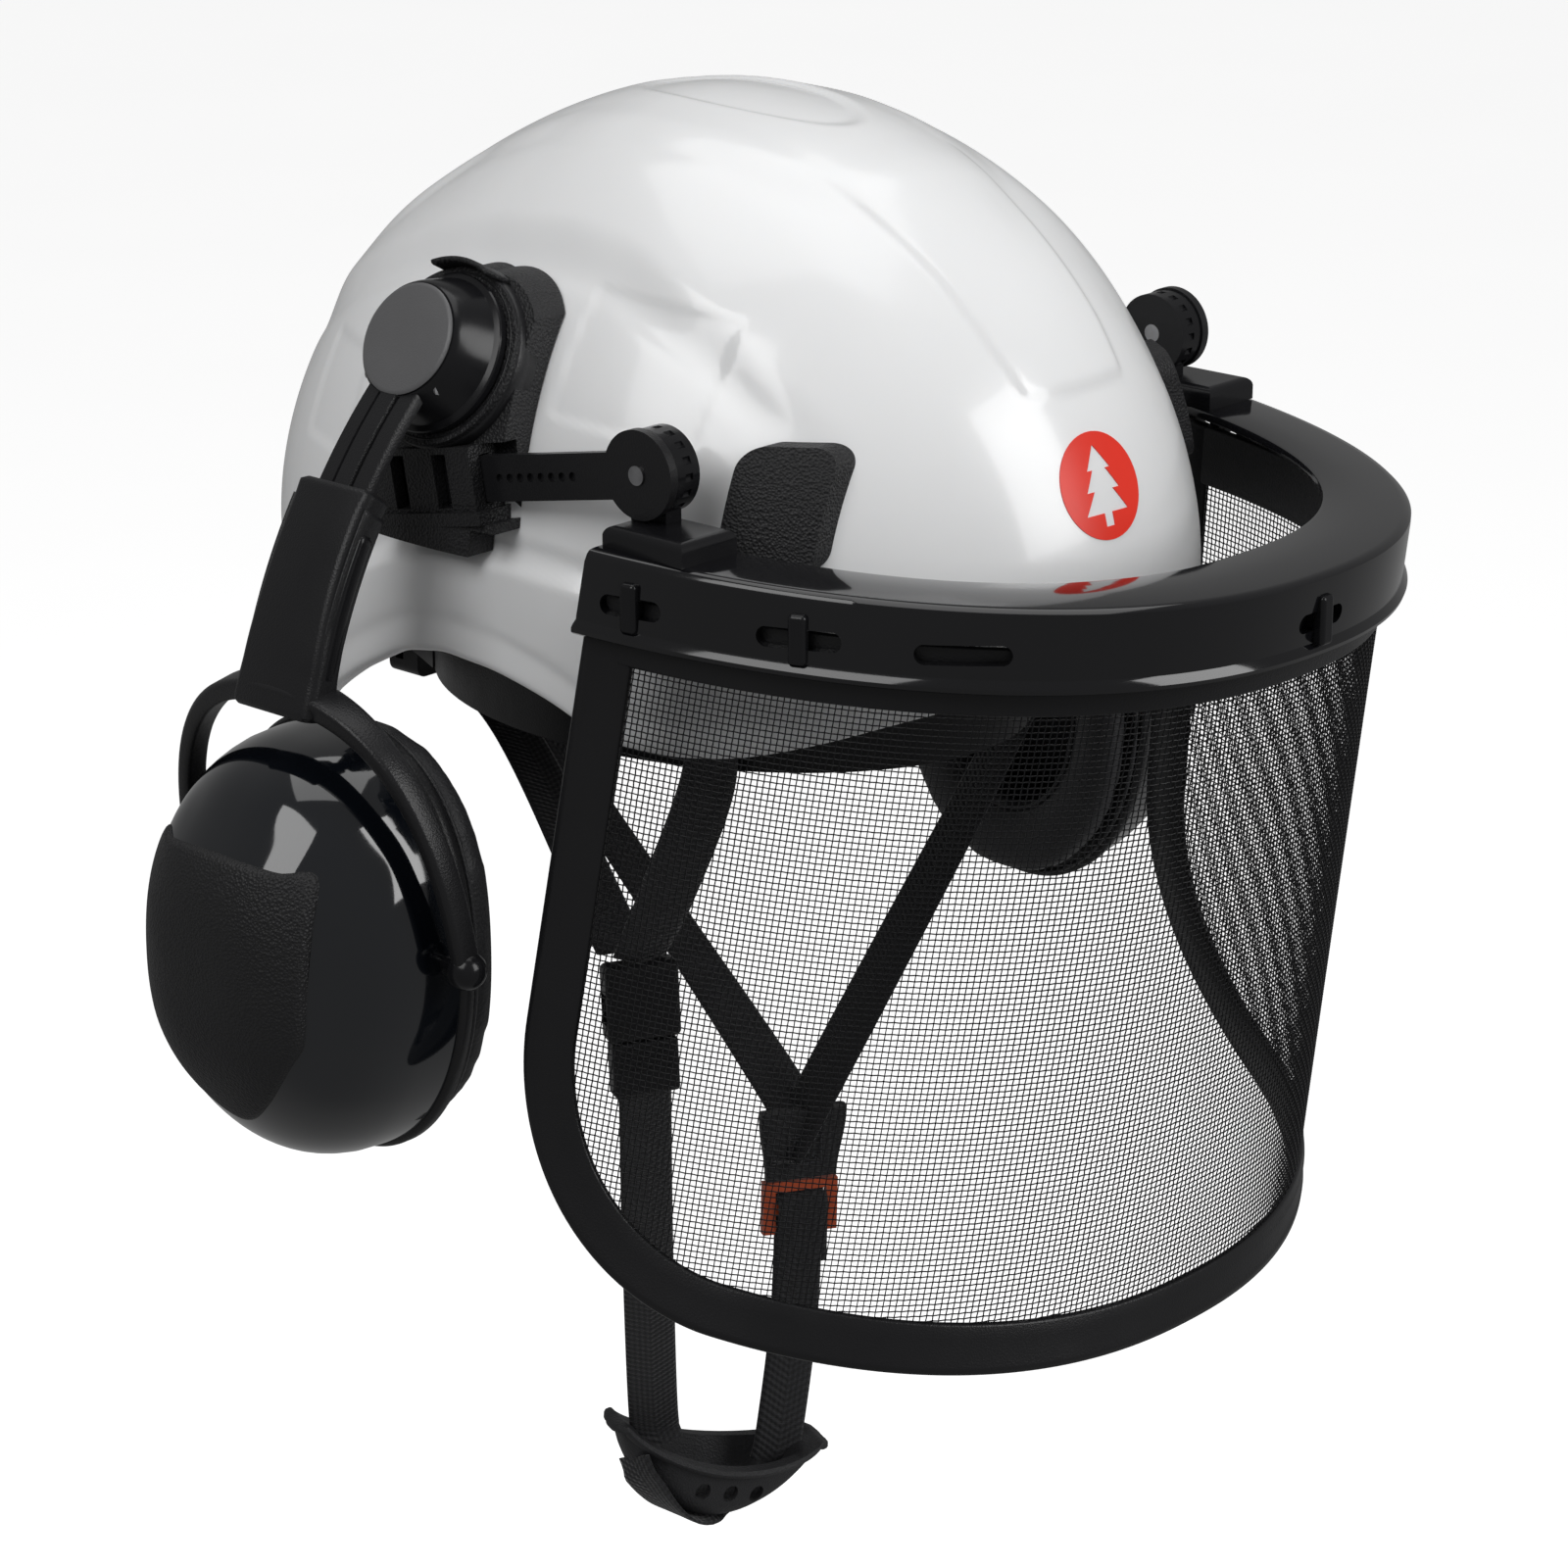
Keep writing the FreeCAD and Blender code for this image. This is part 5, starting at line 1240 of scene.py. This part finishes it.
def puff(obj, voxel, pressure, cap):
    """Inflate a closed soft piece with cloth; cap limits how far any point may travel, in millimetres."""
    mod = obj.modifiers.new("cells", "REMESH")
    mod.mode, mod.voxel_size = "VOXEL", voxel * MM
    apply_modifiers(obj)
    before = np.zeros(len(obj.data.vertices) * 3)
    obj.data.vertices.foreach_get("co", before)
    cloth = obj.modifiers.new("cloth", "CLOTH")
    cloth.settings.use_pressure = True
    cloth.settings.uniform_pressure_force = pressure
    cloth.settings.effector_weights.gravity = 0.0
    cloth.settings.tension_stiffness = 30.0
    cloth.point_cache.frame_start, cloth.point_cache.frame_end = 1, 20
    for step in range(1, 19):
        bpy.context.scene.frame_set(step)
    apply_modifiers(obj)
    bpy.context.scene.frame_set(1)
    after = np.zeros(len(obj.data.vertices) * 3)
    obj.data.vertices.foreach_get("co", after)
    if len(after) == len(before):
        move = (after - before).reshape(-1, 3)
        length = np.linalg.norm(move, axis=1, keepdims=True)
        move *= np.minimum(1.0, cap * MM / np.maximum(length, 1e-9))
        obj.data.vertices.foreach_set("co", (before.reshape(-1, 3) + move).ravel())
    ease = obj.modifiers.new("ease", "SMOOTH")
    ease.factor, ease.iterations = 0.5, 6
    finer = obj.modifiers.new("finer", "SUBSURF")
    finer.levels = finer.render_levels = 1
    apply_modifiers(obj)


# ---- harness ----------------------------------------------------------------------------------
WEB, THICK = 15.0, 1.5


def strap(name, points, sides, body, node=None, width=WEB, thick=THICK, material=None, count=None):
    """Woven webbing through points; sides give its width direction, uv is in metres."""
    points, sides = np.asarray(points, float), unit(sides)
    length = np.sum(np.linalg.norm(np.diff(points, axis=0), axis=1))
    count = count or max(8, int(length / 2.0))
    if len(points) == 2:
        t = np.linspace(0, 1, count)[:, None]
        path, side = points[0] + (points[1] - points[0]) * t, sides[0] + (sides[1] - sides[0]) * t
    else:
        both_ways = catmull(np.column_stack([points, sides * 0.001]), count)
        path, side = both_ways[:, :3], both_ways[:, 3:]
    ahead = unit(np.gradient(path, axis=0))
    side = unit(side - ahead * np.sum(side * ahead, 1, keepdims=True))
    up = np.cross(ahead, side)
    columns = np.linspace(-1, 1, 15)
    plump = np.sqrt(np.clip(1 - np.abs(columns) ** 6, 0.05, 1))
    edge = 1.0 + 0.10 * np.exp(-((np.abs(columns) - 0.9) / 0.07) ** 2)
    top = np.column_stack([columns * width / 2, thick / 2 * plump * edge])
    low = np.column_stack([columns[::-1] * width / 2, -thick / 2 * plump[::-1] * edge[::-1]])
    section = np.vstack([top, low])
    pts, faces = sweep(path, side, up, section)
    run = np.concatenate([[0], np.cumsum(np.linalg.norm(np.diff(path, axis=0), axis=1))])
    uv = np.stack([np.tile(section[:, 0], count), np.repeat(run, len(section))], 1) * MM
    obj = piece(name, pts, flip_faces(faces), body, material or STRAP, "webbing_black", node, uv=uv)
    obj.data.set_sharp_from_angle(angle=math.radians(70))
    return obj


def stitches(name, at, along, side, up, rows, columns, body):
    """Small thread bars in a boxed cross."""
    points, faces = [], []
    marks = []
    for k in np.linspace(-1, 1, rows):
        marks += [((-1, k), along), ((1, k), along)]
    for k in np.linspace(-1, 1, columns):
        marks += [((k, -1), side), ((k, 1), side), ((k, k), unit(along * rows + side * columns))]
    for (u, v), way in marks:
        centre = at + side * u * columns * 0.62 + along * v * rows * 0.62
        n = np.cross(way, up)
        ring = []
        for d, r in ((-0.8, 0.08), (-0.55, 0.28), (0.55, 0.28), (0.8, 0.08)):
            for a in np.arange(6) * np.pi / 3:
                ring.append(centre + way * d + r * (n * math.cos(a) + up * math.sin(a)))
        base = len(points)
        points += ring
        faces += [tuple(base + i for i in f) for f in grid_faces(4, 6, close_cols=True)]
        faces += [tuple(base + j for j in range(6))[::-1], tuple(base + 18 + j for j in range(6))]
    return piece(name, points, faces, body, THREAD, "webbing_black")


FACE = np.array([0.87, -0.5, 0.0])
ALONG_Y = np.array([-0.35, 0.94, 0.0])
BUCKLE_TOP, BUCKLE_LOW = np.array([-60.0, -21, -104]), np.array([-60.0, -23, -140])
SPLIT = np.array([30.0, -1, -184])
SLIDER = np.array([30.0, 0, -204])
CUP_A, CUP_B = np.array([-30.0, 18, -266]), np.array([28.0, -8, -284])


def build_harness():
    body = "shell_body"
    strap("front_webbing_right", [(-76, -62, -16.4), (-68, -55, -42), (-63, -35, -80),
                                  BUCKLE_TOP + (0, 0, 1)],
          [ALONG_Y, ALONG_Y, ALONG_Y * 0.6 - FACE * 0.5, -FACE], body, "front_strap_right")
    strap("rear_webbing_right", [(-8, 119, -50.8), (-17, 70, -67), (-58, -13, -103.5)],
          [(1, 0, 0), (1, 0, 0), FACE], body, "rear_strap_right")
    strap("front_webbing_left", [(76, -62, -16.4), (68, -55, -46), SPLIT, SPLIT - (3.5, -3.5, 13)],
          [(0.35, 0.94, 0), (0.3, 0.95, 0), (0, 1, 0), FACE],
          body, "front_strap_left")
    strap("rear_webbing_left", [(12, 119, -50.8), (21, 60, -116), (30, 6, -179), (30, -1, -192)],
          [(1, 0, 0), (1, 0, 0), FACE, FACE],
          body, "rear_strap_left")
    strap("chin_webbing_right", [BUCKLE_LOW + (0, 0, -2.2), (-44, -8, -200), (-20, 13.5, -267),
                                 (-17, 13.5, -279)], [FACE] * 4, body, "chin_strap_right")
    strap("chin_webbing_left", [SLIDER + (0, 0.4, -3), (25, -2, -246), (17.5, -2.8, -282),
                                (15.5, -2.0, -291)], [FACE] * 4, body, "chin_strap_left")

    up = unit(np.cross((0, 0, -1.0), FACE))
    t = np.linspace(0, 1, 24)
    path = SPLIT + np.array([0, 0, 2.5]) + (SLIDER - SPLIT - np.array([0, 0, 2.0])) * t[:, None]
    widths = 26.5 - 4.5 * smoothstep(t, 0.1, 1.0)
    sections = []
    for w, k in zip(widths, t):
        s = rounded_rect(w, 4.3 - 0.9 * k, 1.2, 4)
        s[:, 1] += 0.35 * np.sin(s[:, 0] * 0.5) * (1 - k)
        sections.append(s)
    pts, faces = sweep(path, np.tile(FACE, (24, 1)), np.tile(up, (24, 1)), sections)
    cols = len(sections[0])
    uv = np.concatenate([np.column_stack([s[:, 0], np.full(cols, k * 20.0)]) for s,
                         k in zip(sections, t)]) * MM
    fold = piece("strap_fold_cloth", pts, flip_faces(faces), body, STRAP, "webbing_black", "strap_fold",
                 uv=uv)
    fold.data.set_sharp_from_angle(angle=math.radians(60))
    near = -1.0 if up @ np.array([-0.7, -0.63, 0.3]) < 0 else 1.0
    loop = [SLIDER + up * near * lift + (0, 0, -drop) for lift,
            drop in ((-1.6, 8.0), (0.6, 4.9), (2.6, 6.2), (2.9, 10.0), (2.2, 16.0), (1.6, 27.0))]
    strap("slider_loop", loop, [FACE] * len(loop), body, width=15.4, thick=1.3)
    stitches("fold_stitches", SPLIT + np.array([0, 0, -10.0]) + up * near * 2.0, np.array([0, 0, -1.0]),
             FACE, up * near, 7, 8, body)

    for name, at, way in (("anchor_stitches_right", np.array([-71.5, -58.3, -32]), ALONG_Y),
                          ("anchor_stitches_left", np.array([71.5, -58.3, -32]), np.array([0.35, 0.94, 0]))):
        down = unit(np.array([0.3 * np.sign(-at[0]), 0.26, -0.92]))
        out = unit(np.cross(down, way))
        stitches(name, at + out * 0.9, down, unit(way), out, 6, 7, body)


def build_buckle_trim():
    """Ribs that the near buckle shows on its faces."""
    along = unit(BUCKLE_LOW - BUCKLE_TOP)
    side = unit(FACE - along * (FACE @ along))
    up = np.cross(along, side)
    for face in (-1, 1):
        pts, fcs = [], []
        for k in range(5):
            at = BUCKLE_TOP + along * (24.6 + 1.5 * k) + up * face * 3.2
            p, f = cuboid(at, (along, side, up * face), ((-0.35, 0.35), (-7.5, 7.5), (-0.4, 0.35)))
            fcs += [tuple(i + len(pts) for i in q) for q in f]
            pts += list(p)
        obj = piece("buckle_ribs_%s" % ("inner" if face < 0 else "outer"), pts, fcs, "shell_body", SATIN,
                    "black_satin")
        tidy_normals(obj)
        soften(obj, 0.2, 2)


def build_chin_cup():
    """Boat-shaped rubber cup with a rolled rim, three oval holes and the strap slung under it."""
    span = CUP_B - CUP_A
    along = unit(span)
    down = unit(np.array([0, 0, -1.0]) - along * (np.array([0, 0, -1.0]) @ along))
    front = np.cross(along, down)
    if front @ np.array([-0.7, -0.63, 0.0]) < 0:
        front = -front
    rows = 90
    s = np.linspace(0, 1, rows)
    sections, centres, tips = [], [], {}
    for k in s:
        swell = math.sin(math.pi * min(max(k, 0.012), 0.988)) ** 0.62
        depth, half, sag = 1.2 + 17.5 * swell, 3.6 + 8.6 * swell, 9.5 * swell
        hollow = smoothstep(swell, 0.45, 0.75)
        outer, inner = [], []
        for a in np.linspace(0, 1, 15):
            angle = math.pi * a
            x = half * math.copysign(abs(math.cos(angle)) ** 0.75, math.cos(angle))
            z = sag + depth * abs(math.sin(angle)) ** 0.75
            outer.append((x, z))
            inner.append((x * (1 - 2.2 / half),
                          sag - 0.6 + hollow * max(depth - 1.6, 0.0) * abs(math.sin(angle)) ** 0.75))
        lip_out = [(half + 2.6, sag - 0.6), (half + 3.2, sag + 0.6), (half + 2.6, sag + 1.7),
                   (half + 0.6, sag + 2.4)]
        back_lip = [(-half - 0.6, sag + 2.4), (-half - 2.6, sag + 1.7), (-half - 3.2, sag + 0.6),
                    (-half - 2.6, sag - 0.6)]
        top_f, top_b = [(half - 1.0, sag - 0.8)], [(-half + 1.0, sag - 0.8)]
        sections.append(np.array(lip_out + outer[1:-1] + back_lip + top_b + inner[1:-1][::-1] + top_f))
        centres.append(CUP_A + span * k)
    for turn in (30, 55, 75, 88):
        out, shrink = 3.2 * math.sin(math.radians(turn)), math.cos(math.radians(turn))
        for first in (True, False):
            end = sections[0 if first else -1] if turn == 30 else tips[first]
            whole = tips.setdefault(first, end) if turn == 30 else tips[first]
            middle = whole.mean(0)
            place = (CUP_A - along * out) if first else (CUP_B + along * out)
            centres.insert(0 if first else len(centres), place)
            sections.insert(0 if first else len(sections), middle + (whole - middle) * shrink)
    rows = len(centres)
    sides = np.tile(front, (rows, 1))
    pts, faces = sweep(np.array(centres), sides, np.tile(down, (rows, 1)), sections)
    cup = piece("chin_cup_rubber", pts, faces, "shell_body", RUBBER, "chin_rubber", "chin_cup")
    tidy_normals(cup)
    cutters = []
    for k in (0.42, 0.56, 0.70):
        at = CUP_A + span * k + down * 17.5
        a = np.linspace(0, 2 * np.pi, 24, endpoint=False)
        ring = np.outer(np.cos(a) * 2.3, along) + np.outer(np.sin(a) * 2.9, down)
        points = np.vstack([at + ring + front * 3.0, at + ring + front * 16.0])
        cutters.append(helper("hole", points,
                              grid_faces(2, 24, close_cols=True) + [tuple(range(24))[::-1],
                                                                    tuple(range(24, 48))]))
    for cutter in cutters:
        tidy_normals(cutter)
    cut_with(cup, cutters)
    cup.data.polygons.foreach_set("use_smooth", [True] * len(cup.data.polygons))
    cup.data.set_sharp_from_angle(angle=math.radians(48))
    under, across = [], []
    for k, turn in zip(np.linspace(0.09, 0.62, 14), np.linspace(48.0, 100.0, 14)):
        swell = math.sin(math.pi * k) ** 0.62
        depth, half, sag = 1.2 + 17.5 * swell, 3.6 + 8.6 * swell, 9.5 * swell
        skin = []
        for a in (math.radians(turn - 8), math.radians(turn), math.radians(turn + 8)):
            skin.append(CUP_A + span * k + front * half * math.copysign(abs(math.cos(a)) ** 0.75, math.cos(a))
                        + down * (sag + depth * math.sin(a) ** 0.75))
        tangent = unit(skin[2] - skin[0])
        out = unit(np.cross(along, tangent))
        out = out if out @ (front + down) > 0 else -out
        under.append(skin[1] + out * (1.1 - 2.4 * (k < 0.1) - 1.6 * (k > 0.6)))
        across.append(-tangent)
    strap("chin_webbing_under", under, across, "shell_body", thick=1.3)


# ---- inside -----------------------------------------------------------------------------------
def build_inside():
    """Cradle tapes, brow pad and nape pad."""
    turn = math.atan2(66.0, 75.0)
    half = HALF - 3.0 - 14.0 - 2.2
    for k, angle in enumerate((turn, -turn)):
        direction = np.array([math.cos(angle), math.sin(angle)])
        reach = 1 / math.sqrt((direction[0] / half[0]) ** 2 + (direction[1] / half[1]) ** 2)
        t = np.linspace(-0.045, math.pi + 0.045, 60)
        path = np.stack([direction[0] * reach * np.cos(t), direction[1] * reach * np.cos(t),
                         half[2] * np.sin(t) - 1.6 * k], 1)
        side = np.tile(np.array([-direction[1], direction[0], 0.0]), (60, 1))
        strap("cradle_tape_%d" % (k + 1), path, side, "shell_body", "cradle_straps" if k == 0 else None,
              19.0, 1.3, CRADLE, 90)

    angles = np.linspace(math.radians(-90 - 56), math.radians(-90 + 56), 80)
    path = np.stack([68.0 * np.cos(angles), 89.0 * np.sin(angles), np.full(80, -30.0)], 1)
    ahead = unit(np.gradient(path, axis=0))
    inward = unit(np.cross(ahead, (0, 0, 1.0))) * -1
    sections = []
    for i in range(80):
        ends = min(i, 79 - i) / 4.0
        k = min(1.0, 0.35 + 0.65 * ends)
        ripple = 1.0 - 0.16 * math.cos(i * 2 * math.pi / 9.0) ** 8
        s = rounded_rect(21.5, 4.4 * k * ripple, 1.9 * k, 4)
        sections.append(s)
    pts, faces = sweep(path, np.tile((0, 0, 1.0), (80, 1)), inward, sections)
    brow = piece("brow_pad", pts, faces, "shell_body", CLOTH, "sweatband_cloth", "sweatband")
    tidy_normals(brow)
    u, v = np.meshgrid(np.linspace(-1, 1, 41), np.linspace(-1, 1, 37))
    dome = np.clip((1 - np.abs(u) ** 6) * (1 - np.abs(v) ** 6), 0, 1) ** 0.5
    quilt = 1 - 0.25 * np.exp(-(u / 0.05) ** 2) - 0.2 * np.exp(-((np.abs(v) - 0.45) / 0.06) ** 2)
    front = np.stack([u * 24, 88.5 - 3.0 * dome * quilt, -42 + v * 11], -1).reshape(-1, 3)
    back = np.stack([u * 24, 88.5 + 2.8 * dome, -42 + v * 11], -1).reshape(-1, 3)
    faces = grid_faces(37, 41)
    pad = thicken("nape_cushion", front, back, [tuple(f) for f in faces], "shell_body", CLOTH,
                  "sweatband_cloth", "nape_pad")
    tidy_normals(pad)


# ---- carried-over CAD pieces ------------------------------------------------------------------
def dress(names, material, radius=0.0):
    for name in names:
        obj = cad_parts[name]
        obj.data.materials.clear()
        obj.data.materials.append(material)
        if radius:
            soften(obj, radius)
        else:
            obj.data.polygons.foreach_set("use_smooth", [True] * len(obj.data.polygons))


def pair(*names):
    return ["%s_%s" % (n, side) for n in names for _, side in SIDES]


def dress_frame():
    dress(["strap_anchors", "nape_hanger"], GRAINED, 0.6)
    dress(["lamp_clips"], GRAINED, 1.6)
    dress(pair("mount_base"), GRAINED, 1.1)
    dress(pair("rail_block"), GRAINED, 0.5)
    dress(pair("visor_arm"), SATIN, 0.35)
    dress(["headband", "ratchet_case", "ratchet_cover", "ratchet_knob"], SATIN, 0.5)
    dress(["ratchet_pinion", "rack_tail_right", "rack_tail_left"], SATIN, 0.1)
    dress(["carrier_lugs"], SMOOTH, 0.5)
    dress(["visor_pegs"], SMOOTH, 0.5)
    dress(["pivot_pins", "hub_axles"] + pair("arm_pin"), PIN, 0.2)
    dress(pair("cup_foam"), OPEN_FOAM)
    dress(["buckle_socket", "buckle_plug"], SATIN, 0.5)
    dress(["release_prong_front", "release_prong_rear"], PRONG, 0.4)
    dress(["strap_slider"], ORANGE, 0.4)


# ---- stage, light and camera ------------------------------------------------------------------
def area_light(name, at, aim, size, power, colour=(1, 1, 1)):
    data = bpy.data.lights.new(name, "AREA")
    data.shape, data.size, data.size_y = "RECTANGLE", size[0], size[1]
    data.energy, data.color = power, colour
    obj = bpy.data.objects.new(name, data)
    obj.location = at
    obj.rotation_euler = (Vector(aim) - Vector(at)).to_track_quat("-Z", "Y").to_euler()
    bpy.context.scene.collection.objects.link(obj)
    return obj


FLOOR_HALF, FLOOR_Z = 36.0, -0.95
CAMERA_AT, CAMERA_AIM = (-0.8932, -0.8254, 0.3408), (0.7033, 0.6338, -0.3221)
LENS, SENSOR = 104.15, 36.0


def build_stage():
    """Pale floor, even white surroundings, three soft lights and the camera, in metres."""
    data = bpy.data.meshes.new("floor")
    w, z = FLOOR_HALF, FLOOR_Z
    data.from_pydata([(-w, -w, z), (w, -w, z), (w, w, z), (-w, w, z)], [], [(0, 1, 2, 3)])
    floor = bpy.data.objects.new("floor", data)
    bpy.context.scene.collection.objects.link(floor)
    m = Nodes("floor_paper")
    grain = m.noise(3.0, 2.0)
    shade = m.ramp(grain.outputs["Fac"], [(0.3, (0.90,) * 3), (0.7, (0.92,) * 3)])
    m.link(shade.outputs["Color"], m.shader.inputs["Base Color"])
    m.set(Roughness=0.9, Emission_Color=(1, 1, 1, 1), Emission_Strength=0.7)
    data.materials.append(m.finish())
    floor.visible_diffuse = floor.visible_glossy = False

    world = bpy.data.worlds.new("studio")
    bpy.context.scene.world = world
    world.use_nodes = True
    world.node_tree.nodes["Background"].inputs["Color"].default_value = (1, 1, 1, 1)
    world.node_tree.nodes["Background"].inputs["Strength"].default_value = 0.24

    area_light("key", (-1.45, -0.15, 1.35), (0, 0, 0), (1.1, 1.1), 15)
    area_light("front", (0.55, -1.9, 0.9), (0, 0, 0), (1.0, 1.4), 24)
    area_light("top", (0.2, 0.2, 1.9), (0, 0, 0), (1.6, 1.6), 13)

    camera = bpy.data.cameras.new("camera")
    camera.lens, camera.sensor_width = LENS, SENSOR
    camera.clip_end = 60.0
    obj = bpy.data.objects.new("camera", camera)
    obj.location = CAMERA_AT
    obj.rotation_euler = Vector(CAMERA_AIM).to_track_quat("-Z", "Y").to_euler()
    bpy.context.scene.collection.objects.link(obj)
    bpy.context.scene.camera = obj
    bpy.context.scene.view_settings.view_transform = "Standard"


build_shell()
build_liner()
build_mark()
build_frame()
build_mesh()
build_carrier()
build_hubs()
build_arms()
build_yokes()
build_cups()
build_cushions()
build_harness()
build_buckle_trim()
build_chin_cup()
build_inside()
dress_frame()
build_stage()
